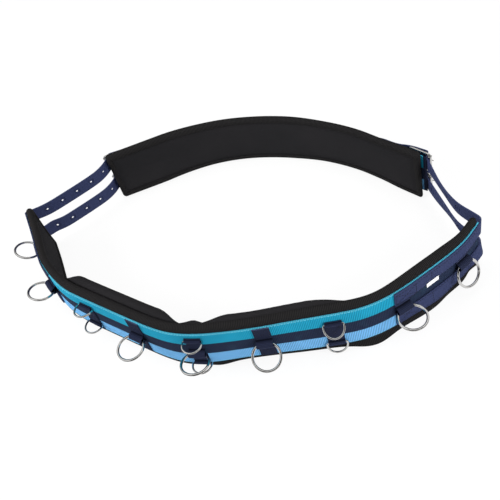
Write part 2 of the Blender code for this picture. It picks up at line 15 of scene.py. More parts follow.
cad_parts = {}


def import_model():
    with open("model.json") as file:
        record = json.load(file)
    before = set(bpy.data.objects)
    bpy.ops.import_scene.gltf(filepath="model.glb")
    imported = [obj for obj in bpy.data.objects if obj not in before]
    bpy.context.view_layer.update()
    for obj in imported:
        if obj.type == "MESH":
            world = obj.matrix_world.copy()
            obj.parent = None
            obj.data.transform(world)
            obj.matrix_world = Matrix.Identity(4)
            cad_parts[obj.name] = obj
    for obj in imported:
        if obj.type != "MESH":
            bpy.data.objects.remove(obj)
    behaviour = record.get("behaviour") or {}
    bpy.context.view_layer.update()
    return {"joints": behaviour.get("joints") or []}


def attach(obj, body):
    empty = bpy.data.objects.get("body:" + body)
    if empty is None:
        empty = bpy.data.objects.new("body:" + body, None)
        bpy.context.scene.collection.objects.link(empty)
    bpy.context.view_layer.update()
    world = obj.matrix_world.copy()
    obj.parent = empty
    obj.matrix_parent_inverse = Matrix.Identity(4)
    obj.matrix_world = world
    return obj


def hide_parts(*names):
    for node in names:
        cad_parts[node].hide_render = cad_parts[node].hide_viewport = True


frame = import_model()
SCENE = bpy.context.scene
JOINTS = {j["child"]: j for j in frame["joints"]}
MM = 0.001

# Plan of the loop, with the middle of the roller at 0, 0 and the girth towards +Y.
ROLLER_PLAN = [(-369, 202), (-336, 160), (-290, 100), (-262, 77), (-229, 57), (-192, 44),
               (-116, 20), (-77, 8), (-37, -1), (0, 0), (40, 9), (117, 31), (193, 54), (232, 69),
               (264, 92), (292, 120), (344, 180), (363, 214), (369, 230)]
GIRTH_PLAN = [(278, 361), (244, 378), (170, 418), (92, 442), (13, 450),
              (-65, 443), (-140, 418), (-210, 383), (-272, 343)]
FREE_BILLET = {1: [(372, 237), (363, 246), (344, 263), (332, 279), (317, 306), (301, 335)],
               -1: [(-373, 211), (-362, 219), (-347, 233), (-329, 254), (-292, 302), (-280, 325)]}
PLAN_CENTRE = np.array((-1.28, 203.09))
PLAN_STEPS = 24

# Sizes shared with the solids.
GAP = 0.3
FACET = 25.0
ROLLER_ENDS = (-444.0, 452.0)
ROLLER_HEIGHT = 100.0
GIRTH_HEIGHT = 95.0
GIRTH_END_FLAT = 114.0
PAD_THICK = 10.5
WEB_WIDTH = 75.0
WEB_THICK = 2.2
WEB_OVERRUN = 2.0
ON_WEB = 2.8
BILLET_WIDTH = 25.0
BILLET_THICK = 2.0
BILLET_SPACING = 45.0
BILLET_SEWN_FROM = 284.0
BILLET_TAIL = 200.0
BILLET_DROP = 2.5
HOLE_PITCH = 30.0
HOLES = range(-5, 4)  # counted from the hole that the tongue sits in
TABS = dict(zip(range(-4, 5), (-393.0, -296.5, -196.5, -98.0, 0.0, 98.0, 196.5, 296.5, 407.0)))
TAB_FLAT = 26.0
TAB_WIDTH = 24.0
TAB_THICK = 1.6
RING_WIRE = 4.0
RING_RADIUS = 20.25
RING_RUNS = 20
DEE_WIRE = 3.0
DEE_INSIDE = 26.0
DEE_DROP = 20.0
BUCKLE_REACH = 36.0
BUCKLE_INSIDE = 28.4
BUCKLE_WIRE = 3.6
BUCKLE_ROLLER = 7.0
BUCKLE_ROLLER_LENGTH = 25.6
TONGUE_WIRE = 2.6
TONGUE_TIP = 3.5
BUCKLE_PLY = 1.5
BUCKLE_CHAPE_LENGTH = 88.0
BUCKLE_START = {1: -10.0, -1: -4.0}
BUCKLE_AXIS = 8.6
BILLET_ROUND_ROLLER = 4.8
BILLET_WRAP = (-62.0, -20.0)
BILLET_TO_TONGUE = 7.5
BILLET_TOP_BEND = 4.0
ROLLER_MID = ROLLER_HEIGHT / 2
GIRTH_MID = GIRTH_HEIGHT / 2
MARGIN = (ROLLER_HEIGHT - WEB_WIDTH) / 2

# Each ring and dee: its height on its tab and its tilt as it rests.
RINGS = {"ring_centre": (46, 100), "ring_left_1": (50, 84), "ring_right_1": (51, 60),
         "ring_left_3": (50, 105), "ring_right_3": (50, 86),
         "ring_left_4": (50, 114), "ring_right_4": (50, 28)}
DEES = {"dee_centre_upper": (75, 90), "dee_centre_lower": (18, 95),
        "dee_left_2_upper": (69, 96), "dee_left_2_lower": (26, 92),
        "dee_right_2_upper": (69, 56), "dee_right_2_lower": (23, 12)}

# Weave and stitching.
RIB_PITCH = 2.4
RIB_STEP = RIB_PITCH / 4
RIB_DEPTH = 0.12
STITCH_PITCH = 4.6
STITCH_LENGTH = 3.2
STITCH_WIDTH = 0.75
STITCH_RISE = 0.45


def ease(x, low, high):
    """A smooth step from 0 at low to 1 at high."""
    t = np.clip((np.asarray(x, float) - low) / (high - low), 0, 1)
    return t * t * (3 - 2 * t)


def bell(x, middle, width):
    return np.exp(-((np.asarray(x, float) - middle) / width) ** 2)


def bells(x, *humps):
    """The sum of humps that are given as height, middle and width."""
    return sum(height * bell(x, middle, width) for height, middle, width in humps)


def round_off(distance, radius):
    """How far a rounded edge draws in at a distance from the end."""
    reach = radius - np.minimum(distance, radius)
    return radius - np.sqrt(radius ** 2 - reach ** 2)


def unit(vectors):
    return vectors / np.linalg.norm(vectors, axis=-1, keepdims=True)


def distances(path):
    """How far along a path each of its points is."""
    return np.r_[0.0, np.cumsum(np.linalg.norm(np.diff(path, axis=0), axis=1))]


class SoftLine:
    """A smooth line in plan that touches the runs between its corners at their middles."""

    def __init__(self, corners, stations=None, lean=None, slip=None):
        self.lean, self.slip = lean, slip
        self.corners = np.array([tuple(c) for c in corners], float)
        self.at = distances(self.corners) if stations is None else np.array(stations)
        runs = np.diff(self.corners, axis=0)
        side = unit(np.c_[runs[:, 1], -runs[:, 0]])
        first, second = np.r_[side[:1], side], np.r_[side, side[-1:]]
        self.mitres = (first + second) / (1 + (first * second).sum(1))[:, None]
        mid = (self.corners[1:] + self.corners[:-1]) / 2
        mid_at = (self.at[1:] + self.at[:-1]) / 2
        self.breaks = np.r_[self.at[0], mid_at, self.at[-1]]
        self.begin = np.r_[self.corners[:1], mid]
        self.end = np.r_[mid, self.corners[-1:]]
        self.bend, self.bend_at = self.corners.copy(), self.at.copy()
        for i, beside in ((0, 1), (-1, -2)):
            self.bend[i] = (self.begin[i] + self.end[i]) / 2
            self.bend_at[i] = (self.breaks[i] + self.breaks[beside]) / 2

    def corner(self, i, out):
        return self.corners[i] + out * self.mitres[i]

    def plan(self, s, out):
        """Plan points at distances s along the line and out from it, and the outward directions."""
        s, out = np.broadcast_arrays(np.asarray(s, float), np.asarray(out, float))
        i = np.clip(np.searchsorted(self.breaks, s, "right") - 1, 0, len(self.bend) - 1)
        x = s - self.breaks[i]
        a = self.bend_at[i] - self.breaks[i]
        b = self.breaks[i + 1] - self.bend_at[i]
        t = (x / (a + np.sqrt(np.maximum(a * a + (b - a) * x, 1e-9))))[..., None]
        p0, p1, p2 = self.begin[i], self.bend[i], self.end[i]
        point = (1 - t) ** 2 * p0 + 2 * t * (1 - t) * p1 + t * t * p2
        along = unit((1 - t) * (p1 - p0) + t * (p2 - p1))
        normal = np.stack((along[..., 1], -along[..., 0]), -1)
        return point + normal * out[..., None], normal

    def place(self, s, out, z):
        along = s + self.slip(s, z, out) if self.slip else s
        if self.lean:
            out = out + self.lean(s, z, out)
        point, _ = self.plan(along, out)
        z = np.broadcast_to(np.asarray(z, float), point.shape[:-1])
        return np.concatenate((point - PLAN_CENTRE, z[..., None]), -1) * MM


def smooth_line(points, steps=PLAN_STEPS):
    """A smooth curve through the points, as many short runs."""
    pts = [Vector((p[0], p[1], 0)) for p in points]
    pts = [2 * pts[0] - pts[1]] + pts + [2 * pts[-1] - pts[-2]]
    line = []
    for a, b, c, d in zip(pts, pts[1:], pts[2:], pts[3:]):
        line += interpolate_bezier(b, b + (c - a) / 6, c - (d - b) / 6, c, steps)[:-1]
    return np.array([p.xy for p in line + [pts[-2]]])


def points_along(line, zero, stations):
    """Points of a polyline at the given distances from one of its points."""
    dist = distances(line)
    want = np.asarray(stations) + dist[zero]
    i = np.clip(np.searchsorted(dist, want, "right") - 1, 0, len(line) - 2)
    share = ((want - dist[i]) / (dist[i + 1] - dist[i]))[:, None]
    return line[i] * (1 - share) + line[i + 1] * share


def inner_share(out):
    """0 on a pad's outer face and 1 on its inner face."""
    return np.clip(-out / PAD_THICK, 0, 1)


def roller_lean(s, z, out=0.0):
    """How far the standing roller swings out: it leans, sags, and flares at its lower margin."""
    above = 1 - z / ROLLER_MID
    foot, head = np.maximum(above, 0) ** 1.6, np.maximum(-above, 0) ** 1.6
    inner = inner_share(out)
    leaning = bells(s, (-3.2, 80, 60)) * above
    sagging = (bells(s, (7.0, 355, 30)) + 7.0 * ease(s, 426, 450)) * foot
    left_foot = 4.5 * (1 - ease(-s, 320, 362)) * (1 - inner) - 3.0 * inner
    left_wing = ease(-s, 225, 300) * (left_foot * foot - (2.2 - 1.0 * inner) * head)
    left_wing = left_wing - 2.2 * ease(-s, 290, 420) * inner * (1 - head)
    right_rim = bells(s, (2.0, 262, 32), (-0.8, 335, 38)) + 3.0 * ease(s, 375, 425)
    margin = bells(s, (13.0, 250, 34), (7.0, 318, 36), (6.0, 405, 26), (4.0, 26, 19))
    flare = margin * np.maximum(1 - z / MARGIN, 0)
    return leaning + sagging + left_wing + right_rim * inner * head + flare


def girth_lean(s, z, out=0.0):
    """How far the girth swings out, at its inner foot and its upper rim."""
    foot = np.maximum(1 - z / GIRTH_MID, 0)
    right, left = ease(s, 30, 80) * (1 - ease(s, 180, 260)), ease(s, 400, 520)
    inside = 2.5 * right - 8.0 * left
    rim = np.maximum((z - GIRTH_HEIGHT) / MARGIN + 1, 0)
    return inside * inner_share(out) * foot + (4.0 * ease(s, 320, 470) - 2.5 * right) * rim


def girth_slip(s, z, out):
    """How far the girth's inner face is drawn past its right end, most at the foot."""
    return -7.0 * (1 - z / GIRTH_HEIGHT) * (1 - ease(s, 0, 60)) * inner_share(out)


def roller_line():
    """The roller from left to right, with a flat where each tab is sewn."""
    stations = [ROLLER_ENDS[0]]
    for first in [x - TAB_FLAT / 2 for x in TABS.values()] + [ROLLER_ENDS[1]]:
        count = max(1, round((first - stations[-1]) / FACET))
        stations += list(np.linspace(stations[-1], first, count + 1)[1:]) + [first + TAB_FLAT]
    stations = stations[:-1]
    zero = ROLLER_PLAN.index((0, 0)) * (PLAN_STEPS - 1)
    return SoftLine(points_along(smooth_line(ROLLER_PLAN), zero, stations), stations, roller_lean)


def girth_line():
    """The girth from right to left, straight where the buckles are sewn."""
    line = smooth_line(GIRTH_PLAN)
    length = distances(line)[-1]
    bends = length - 2 * GIRTH_END_FLAT
    middle = GIRTH_END_FLAT + np.linspace(0, bends, round(bends / FACET) + 1)
    corners = points_along(line, 0, np.r_[0, middle, length])
    lead = np.linspace(0, 1, 5)[:-1, None]
    first = corners[0] + (corners[1] - corners[0]) * lead
    last = corners[-1] + (corners[-2] - corners[-1]) * lead
    return SoftLine(np.r_[first, corners[1:-1], last[::-1]], lean=girth_lean, slip=girth_slip)


ROLLER = roller_line()
GIRTH = girth_line()
GIRTH_LENGTH = GIRTH.at[-1]
BANDS = {"roller": (ROLLER, ROLLER_ENDS, ROLLER_HEIGHT), "girth": (GIRTH, (0.0, GIRTH_LENGTH), GIRTH_HEIGHT)}


# Meshes.

BEVEL_ANGLE = radians(55)


def quads(n, m, wrap_n=False, wrap_m=False):
    """Faces of an n by m grid of vertices."""
    i, j = np.meshgrid(np.arange(n if wrap_n else n - 1), np.arange(m if wrap_m else m - 1), indexing="ij")
    a, b = i * m + j, i * m + (j + 1) % m
    c, d = ((i + 1) % n) * m + (j + 1) % m, ((i + 1) % n) * m + j
    return np.stack((a, b, c, d), -1).reshape(-1, 4).tolist()


def around(grid):
    """What stands on the rim of a grid, in order."""
    return np.r_[grid[0, :-1], grid[:-1, -1], grid[-1, :0:-1], grid[:0:-1, 0]].tolist()


def bridge(outer, inner):
    """Faces between two closed rows of vertices."""
    return [list(f) for f in zip(outer, outer[1:] + outer[:1], inner[1:] + inner[:1], inner)]


def add(name, data, at=(0, 0, 0), aim=None):
    """A new object in the scene, with -Z aimed at a point if one is given."""
    obj = bpy.data.objects.new(name, data)
    obj.location = at
    if aim:
        obj.rotation_euler = (Vector(aim) - Vector(at)).to_track_quat("-Z", "Y").to_euler()
    SCENE.collection.objects.link(obj)
    return obj


def piece(name, verts, faces, look, uv=None, sharp=50.0, closed=True):
    mesh = bpy.data.meshes.new(name)
    mesh.from_pydata(np.asarray(verts).reshape(-1, 3).tolist(), [], faces)
    if uv is not None:
        corner = np.zeros(len(mesh.loops), np.int32)
        mesh.loops.foreach_get("vertex_index", corner)
        layer = mesh.uv_layers.new(name="weave")
        layer.uv.foreach_set("vector", np.asarray(uv).reshape(-1, 2)[corner].astype(np.float32).ravel())
    if closed:
        face_outward(mesh)
    mesh.shade_smooth()
    mesh.set_sharp_from_angle(angle=radians(sharp))
    mesh.materials.append(look)
    return add(name, mesh)


def face_outward(mesh):
    bm = bmesh.new()
    bm.from_mesh(mesh)
    bmesh.ops.recalc_face_normals(bm, faces=bm.faces)
    if bm.calc_volume(signed=True) < 0:
        bmesh.ops.reverse_faces(bm, faces=bm.faces)
    bm.to_mesh(mesh)
    bm.free()


def sweep(name, rings, look, uv=None, ring_closed=False, sharp=50.0):
    """A skin over closed sections, capped at both ends unless the row closes."""
    rings = np.asarray(rings)
    n, k = rings.shape[:2]
    faces = quads(n, k, ring_closed, True)
    if not ring_closed:
        faces += [list(range(k)), list(range((n - 1) * k, n * k))]
    return piece(name, rings, faces, look, uv, sharp)


def strip(name, points, uv, thick, look, bevel=0.35, skip=()):
    """A sheet whose middle follows a grid of points."""
    faces = [f for i, f in enumerate(quads(*points.shape[:2])) if i not in skip]
    return thicken(piece(name, points, faces, look, uv, closed=False), thick, bevel)


def settle(thing, **settings):
    for key, value in settings.items():
        setattr(thing, key, value)
    return thing


def modify(obj, kind, **settings):
    return settle(obj.modifiers.new(kind.title(), kind), **settings)


def thicken(obj, thick, bevel):
    modify(obj, "SOLIDIFY", thickness=thick * MM, offset=0.0)
    modify(obj, "BEVEL", width=bevel * MM, segments=2, limit_method="ANGLE", angle_limit=BEVEL_ANGLE)
    return obj


def dress(obj, slot, *nodes, body="belt"):
    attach(obj, body)
    if nodes:
        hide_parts(*nodes)
    return obj


def rounded(points, radius, steps=5):
    """A path with its inner corners rounded off."""
    pts = np.asarray(points, float)
    path = [pts[0]]
    for a, b, c in zip(pts, pts[1:], pts[2:]):
        near = b + (a - b) * min(0.5, radius / np.linalg.norm(a - b))
        far = b + (c - b) * min(0.5, radius / np.linalg.norm(c - b))
        t = np.linspace(0, 1, steps)[:, None]
        path += list((1 - t) ** 2 * near + 2 * t * (1 - t) * b + t * t * far)
    return np.array(path + [pts[-1]])


def resample(path, step):
    """The path with points about one step apart, and the distance of each."""
    path = np.asarray(path)
    dist = distances(path)
    want = np.linspace(0, dist[-1], max(2, round(dist[-1] / step) + 1))
    return np.stack([np.interp(want, dist, column) for column in path.T], 1), want


def resample_loop(path, step):
    points, dist = resample(path + path[:1], step)
    return points[:-1], dist[:-1]


def arc(centre, radius, first, last, count):
    turns = np.radians(np.linspace(first, last, count + 1))
    return [(centre[0] + radius * cos(t), centre[1] + radius * sin(t)) for t in turns]


def round_box(x, z, radius, count, step, start):
    """Points round a box with round corners, from the start angle, and their distances."""
    path = []
    for first in range(start, start + 360, 90):
        right, top = first % 360 in (0, 270), first % 360 in (0, 90)
        centre = (x[right] + radius * (1 - 2 * right), z[top] + radius * (1 - 2 * top))
        path += arc(centre, radius, first, first + 90, count)
    return resample_loop(path, step)


# Materials.

class Nodes:
    """Short ways to add procedural nodes to a tree."""

    def __init__(self, tree):
        self.nodes, self.links = tree.nodes, tree.links

    def feed(self, socket, value):
        if isinstance(value, bpy.types.NodeSocket):
            self.links.new(value, socket)
        else:
            socket.default_value = (*value, 1) if isinstance(value, tuple) else value

    def add(self, kind, *values, **settings):
        """The outputs of a new node. Its inputs come in order, and None leaves one as it is."""
        node = settle(self.nodes.new(f"ShaderNode{kind}"), **settings)
        for socket, value in zip(node.inputs, values):
            if value is not None:
                self.feed(socket, value)
        return node.outputs

    def maths(self, operation, *values):
        return self.add("Math", *values, operation=operation)[0]

    def belt_place(self):
        """Distance along the strap and across it, in metres."""
        return self.add("SeparateXYZ", self.add("UVMap", uv_map="weave")[0])[:2]

    def waves(self, place, pitch):
        """A sine from 0 to 1 with a pitch in millimetres."""
        turn = self.maths("MULTIPLY", place, 2 * pi / (pitch * MM))
        return self.maths("MULTIPLY_ADD", self.maths("SINE", turn), 0.5, 0.5)

    def weave(self, place, pitches):
        """Crossing threads with a pitch along and a pitch across."""
        return self.maths("MULTIPLY", *(self.waves(p, pitch) for p, pitch in zip(place, pitches)))

    def noise(self, scale, detail):
        return self.add("TexNoise", self.add("TexCoord")["Object"], None, scale, detail)["Fac"]

    def between(self, value, low, high, to_low=0.0, to_high=1.0):
        return self.add("MapRange", value, low, high, to_low, to_high)[0]

    def paint(self, colour, *layers):
        """A colour with others laid over it, each by its share."""
        for share, layer in layers:
            colour = self.add("Mix", share, *[None] * 5, colour, layer, data_type="RGBA")[2]
        return colour

    def seen_directly(self):
        """1 for camera, mirror and glass rays, which show the white background."""
        rays = self.add("LightPath")
        mirror = self.maths("MAXIMUM", rays["Is Camera Ray"], rays["Is Glossy Ray"])
        return self.maths("MAXIMUM", mirror, rays["Is Transmission Ray"])


class Look(Nodes):
    """A Principled material."""

    def __init__(self, name, **values):
        self.material = bpy.data.materials.new(name)
        self.material.use_nodes = True
        super().__init__(self.material.node_tree)
        self.shader = self.nodes["Principled BSDF"]
        self.set(**values)

    def set(self, **values):
        for socket, value in values.items():
            self.feed(self.shader.inputs[socket.replace("_", " ")], value)

    def bump(self, height, depth, strength):
        bump = self.add("Bump", strength, depth * MM)[0]
        self.feed(bump.node.inputs["Height"], height)
        before = self.shader.inputs["Normal"].links
        if before:
            self.feed(bump.node.inputs["Normal"], before[0].from_socket)
        self.set(Normal=bump)

    def finish(self, colour, pattern, rough, *bumps):
        """The material, with a roughness mapped from a pattern."""
        self.set(Base_Color=colour, Roughness=self.between(pattern, *rough))
        for height, depth, strength in bumps:
            self.bump(height, depth, strength)
        return self.material


def scaled(colour, share):
    return tuple(c * share for c in colour)


CLOTH_SHINE = 0.03


def pad_look():
    """Matte black pad fabric with a fine nap."""
    look = Look("pad_fabric", Specular_IOR_Level=0.02)
    patches = look.between(look.noise(9.0, 2.0), 0.35, 0.7)
    nap = look.between(look.noise(2600.0, 2.0), 0.3, 0.7)
    colour = look.paint((0.0125, 0.0125, 0.0138), (patches, (0.018, 0.0168, 0.018)),
                        (nap, (0.02, 0.0195, 0.0212)))
    return look.finish(colour, nap, (0.0, 1.0, 0.95, 0.82), (nap, 0.25, 0.6),
                       (look.noise(60.0, 2.0), 0.7, 0.35))


def tape_look():
    """Black grosgrain: cross ribs, with painted shade between them."""
    look = Look("binding_tape", Specular_IOR_Level=CLOTH_SHINE)
    place = look.belt_place()
    thread = look.weave(place, (0.85, 0.7))
    # The near-black base is painted shade in the rib hollows; crests and thread crossings show the tape's own
    # black.
    colour = look.paint((0.003, 0.003, 0.0032), (look.waves(place[0], RIB_PITCH), (0.0215, 0.0205, 0.021)),
                        (look.maths("MULTIPLY", thread, 0.5), (0.026, 0.025, 0.0255)))
    return look.finish(colour, thread, (0.0, 1.0, 0.9, 0.72), (thread, 0.12, 0.6))


TEAL = (0.016, 0.32, 0.5)
STRIPE_NAVY = (0.019, 0.0225, 0.05)
LIGHT_BLUE = (0.177, 0.455, 0.8)
PALE_TEAL = (0.075, 0.435, 0.6)
# Painted shade for the hollows between the ribs.
RIB_HOLLOW_SHADE = (0.0, 0.004, 0.012)
STRIPE_EDGE = 0.35
PALE_TOP_EDGE = 0.95


def web_look(height):
    """Webbing in three stripes, with cross ribs, painted shade between them, painted highlights where the
    threads cross, and a pale line along its upper edge.
    """
    look = Look("striped_webbing", Specular_IOR_Level=CLOTH_SHINE)
    place = look.belt_place()
    ragged = look.maths("MULTIPLY", look.maths("SUBTRACT", look.waves(place[0], 1.7), 0.5), 0.0007)
    level = look.maths("ADD", place[1], ragged)
    low, third = (height - WEB_WIDTH) / 2, WEB_WIDTH / 3
    base = LIGHT_BLUE
    # Navy and teal stripes over the light blue, then a pale line along the upper edge only.
    for rise, colour in ((third, STRIPE_NAVY), (2 * third, TEAL), (WEB_WIDTH - PALE_TOP_EDGE, PALE_TEAL)):
        share = look.between(level, (low + rise - STRIPE_EDGE) * MM, (low + rise + STRIPE_EDGE) * MM)
        base = look.paint(base, (share, colour))
    # The hollows between the ribs get painted shade, weaker in random patches.
    rib = look.between(look.waves(place[0], RIB_PITCH), 0.0, 0.75)
    uneven_rib_shade = look.between(look.noise(30.0, 3.0), 0.35, 0.65, 0.0, 0.5)
    thread = look.weave(place, (1.13, 0.9))
    wear = look.between(look.noise(45.0, 4.0), 0.55, 0.8, 0.0, 0.06)
    # Painted shade between the ribs, painted highlights where the threads cross, and pale wear patches.
    colour = look.paint(look.paint(base, (0.66, RIB_HOLLOW_SHADE)), (look.maths("MAXIMUM", rib, uneven_rib_shade), base),
                        (look.maths("MULTIPLY", thread, 0.04), PALE_TEAL), (wear, scaled(PALE_TEAL, 0.6)))
    return look.finish(colour, thread, (0.0, 1.0, 0.85, 0.6), (thread, 0.18, 0.6))


def navy_look(name, colour):
    """Navy strap webbing, with the painted shade in creases over loops and the painted highlights on fold
    edges that tab() sets.
    """
    look = Look(name, Specular_IOR_Level=CLOTH_SHINE)
    along, across = look.belt_place()
    rib = look.waves(along, 1.9)
    thread = look.maths("MULTIPLY", rib, look.waves(across, 1.1))
    # The fold attribute from tab() carries painted light and shade: below 0 a painted shade in the crease
    # over a loop, above 0 a painted highlight on a fold edge.
    fold_light_shade = look.add("Attribute", attribute_name="fold_light_shade")["Fac"]
    # Rib crests and thread crossings are painted lighter as highlights over a base darkened as painted shade,
    # with random tone on top.
    layers = ((rib, 1.0), (thread, 1.5), (look.maths("MULTIPLY", look.noise(70.0, 3.0), 0.35), 0.72),
              (look.between(fold_light_shade, 0.0, -1.0), 0.2), (look.between(fold_light_shade, 0.0, 1.0), 3.4))
    base = look.paint(scaled(colour, 0.66), *((share, scaled(colour, tone)) for share, tone in layers))
    return look.finish(base, thread, (0.0, 1.0, 0.85, 0.62), (rib, 0.3, 0.7), (thread, 0.15, 0.6))


def thread_look(name, colour):
    """Twisted sewing thread."""
    look = Look(name, Specular_IOR_Level=0.15)
    twist = look.noise(1800.0, 2.0)
    base = look.paint(scaled(colour, 0.75), (twist, scaled(colour, 1.2)))
    return look.finish(base, twist, (0.3, 0.7, 0.7, 0.5))


def nickel_look():
    """Polished nickel plate with faint rubbing marks."""
    look = Look("nickel_plate", Metallic=1.0)
    rub = look.noise(150.0, 4.0)
    colour = look.paint((0.54, 0.534, 0.522), (rub, (0.64, 0.632, 0.62)))
    return look.finish(colour, rub, (0.3, 0.75, 0.06, 0.15), (look.noise(900.0, 2.0), 0.012, 0.25))


def label_look():
    """A bare woven label, plain white satin."""
    look = Look("woven_label", Sheen_Weight=0.1)
    weave = look.weave(look.belt_place(), (0.5, 0.5))
    colour = look.paint((0.7, 0.71, 0.72), (weave, (0.84, 0.85, 0.86)))
    return look.finish(colour, weave, (0.0, 1.0, 0.7, 0.5), (weave, 0.08, 0.6))


PAD = pad_look()
TAPE = tape_look()
ROLLER_WEB = web_look(ROLLER_HEIGHT)
GIRTH_WEB = web_look(GIRTH_HEIGHT)
BILLET_NAVY = navy_look("billet_navy", (0.034, 0.043, 0.101))
TAB_NAVY = navy_look("tab_navy", (0.0175, 0.0215, 0.0445))
NAVY_THREAD = thread_look("navy_thread", (0.01, 0.012, 0.026))
BLUE_THREAD = thread_look("blue_thread", (0.16, 0.5, 0.62))
NICKEL = nickel_look()
LABEL = label_look()
BLACK_CARD = Look("black_card", Specular_IOR_Level=0.0, Base_Color=(0.01, 0.01, 0.01)).material


# Pads and their bindings.

PAD_RIM = 5.0
PAD_CORNER = 7.0
PAD_STEP = 6.0
PAD_END_STATIONS = np.array([0.3, 0.8, 1.6, 2.8, 4.2, 6.0, 8.0, 10.5, 14.0])
TAPE_LAP = 10.0
TAPE_REACH = 1.3
TAPE_CORNER = 6.0


def pad_sections(ends, height, swell):
    """Sections of a pad with round rims and ends, as distances along, out and up."""
    middle = np.arange(ends[0] + 18, ends[1] - 17.9, PAD_STEP)
    half = PAD_THICK / 2
    turn = np.radians(np.linspace(0, 180, 9)[1:-1])
    rim_up, rim_out = PAD_RIM * np.sin(turn), half * np.cos(turn)
    rows = []
    for s in np.r_[ends[0] + PAD_END_STATIONS, middle, ends[1] - PAD_END_STATIONS[::-1]]:
        end = min(s - ends[0], ends[1] - s)
        pull = round_off(end, PAD_CORNER)
        low, high = TAPE_REACH + pull + PAD_RIM, height - TAPE_REACH - pull - PAD_RIM
        outer_z, inner_z = np.linspace(low, high, 12), np.linspace(high, low, 40)
        z = np.r_[outer_z, high + rim_up, inner_z, low - rim_up]
        inner_d = -PAD_THICK - swell(s, inner_z, end)
        d = np.r_[0 * outer_z, -half + rim_out, inner_d, -half - rim_out]
        thin = 1 - round_off(end, half) / half
        rows.append(np.c_[np.full_like(z, s), -half + (d + half) * thin, z])
    return np.array(rows)


def pad(band, crown, *folds):
    """A band's pad: inside, a crease along the binding, a soft crown and upright folds."""
    line, ends, height = BANDS[band]

    def swell(s, z, end):
        inside = np.minimum(np.minimum(z, height - z), end + 2)
        crease = bell(inside, TAPE_LAP + 1.2, 1.7)
        return crown * ease(inside, TAPE_LAP + 1, TAPE_LAP + 16) - 1.5 * crease + bells(s, *folds)

    obj = sweep(f"{band}_pad", line.place(*np.moveaxis(pad_sections(ends, height, swell), -1, 0)), PAD)
    dress(obj, "pad", f"{band}_lining", f"{band}_foam", f"{band}_backing")


def tape_section():
    """Outer then inner side of the folded tape: distance in from the edge, and out."""
    middle = -PAD_THICK / 2
    back = 2 * middle
    outer = [(TAPE_LAP, 0.5), (TAPE_LAP - 0.8, 0.95), (7.6, 1.05)]
    outer += [(5.8 - 5.4 * sin(t), middle + (1.05 - middle) * cos(t))
              for t in np.radians(np.linspace(0, 180, 11))]
    outer += [(7.6, back - 1.05), (TAPE_LAP - 0.8, back - 1.0), (TAPE_LAP, back - 0.4)]
    inner = [(TAPE_LAP, back + 0.3), (5.8, back + 0.3), (1.6, middle), (5.8, -0.3), (TAPE_LAP, -0.3)]
    return np.array(outer), np.array(inner)


def binding(band):
    """Ribbed tape folded over a pad's edge, fanned at the corners."""
    line, ends, height = BANDS[band]
    ends = (ends[0] - TAPE_REACH, ends[1] + TAPE_REACH)
    edge, dist = round_box(ends, (0, height), TAPE_CORNER, 8, RIB_STEP, -90)
    inset = np.clip(edge, (ends[0] + TAPE_LAP, TAPE_LAP), (ends[1] - TAPE_LAP, height - TAPE_LAP))
    outer, inner = tape_section()
    slope = np.gradient(outer, axis=0)
    normal = unit(np.c_[slope[:, 1], -slope[:, 0]])
    if normal[len(normal) // 2, 0] > 0:
        normal = -normal
    number = np.arange(len(outer))
    fade = np.clip(number * (len(outer) - 1 - number) / 14, 0, 1)
    rib = 0.5 - 0.5 * np.cos(2 * pi * dist / RIB_PITCH)
    raised = outer[None] + normal[None] * (fade[None] * rib[:, None] * RIB_DEPTH)[..., None]
    section = np.concatenate((raised, np.repeat(inner[None], len(edge), 0)), 1)
    flat = edge[:, None] + (inset - edge)[:, None] * (section[..., :1] / TAPE_LAP)
    verts = line.place(flat[..., 0], section[..., 1], flat[..., 1])
    across = distances(np.r_[outer, inner])
    uv = np.stack(np.broadcast_arrays(dist[:, None] * MM, across[None] * MM), -1)
    obj = sweep(f"{band}_edge_tape", verts, TAPE, uv, ring_closed=True, sharp=70)
    dress(obj, "tape", f"{band}_binding")


CUSHION_GRID = (72, 34)
CUSHION_MARGIN = 3.0
CUSHION_ROLL = 11.0
CUSHION_VOXEL = 0.0045
CUSHION_PRESSURE = 4.0
CUSHION_CAP = 0.003
CUSHION_FRAMES = 20
SEWN_WITHIN = 0.003


def withers_pad(side_name, side, thick, near, far, sunk=0.0):
    """A stuffed cushion beside the spine. An end is its place and the run of its slope."""
    x = np.linspace(near[0], far[0], CUSHION_GRID[0])
    bottom, top = CUSHION_MARGIN, ROLLER_HEIGHT - CUSHION_MARGIN
    along, z = np.meshgrid(x, np.linspace(bottom, top, CUSHION_GRID[1]), indexing="ij")
    slope = ease(far[0] - along, 0, far[1])
    rise = thick * ease(along, near[0], near[0] + near[1]) * slope
    edge = np.minimum(z - bottom, top - z)
    roll = np.sqrt(np.clip(1 - (1 - np.clip(edge / CUSHION_ROLL, 0, 1)) ** 2, 0, 1))
    swell = 1.0 - sunk * (1 - slope) + rise * (0.18 + 0.82 * roll) * np.where(edge > 0.01, 1, 0.2)
    s = along * side
    base = -PAD_THICK - TAPE_REACH - 0.5
    verts = np.stack((ROLLER.place(s, base - swell, z), ROLLER.place(s, np.full_like(s, base + sunk), z)))
    count = s.size
    front, rim = quads(*s.shape), around(np.arange(count).reshape(s.shape))
    faces = front + [[i + count for i in f[::-1]] for f in front]
    faces += bridge(rim, [i + count for i in rim])
    node = f"withers_pad_{side_name}"
    obj = piece(f"{node}_cushion", verts, faces, PAD)
    stuff(obj, s, base)
    dress(obj, "pad", node)


def coordinates(obj):
    return np.array([v.co for v in obj.data.vertices])


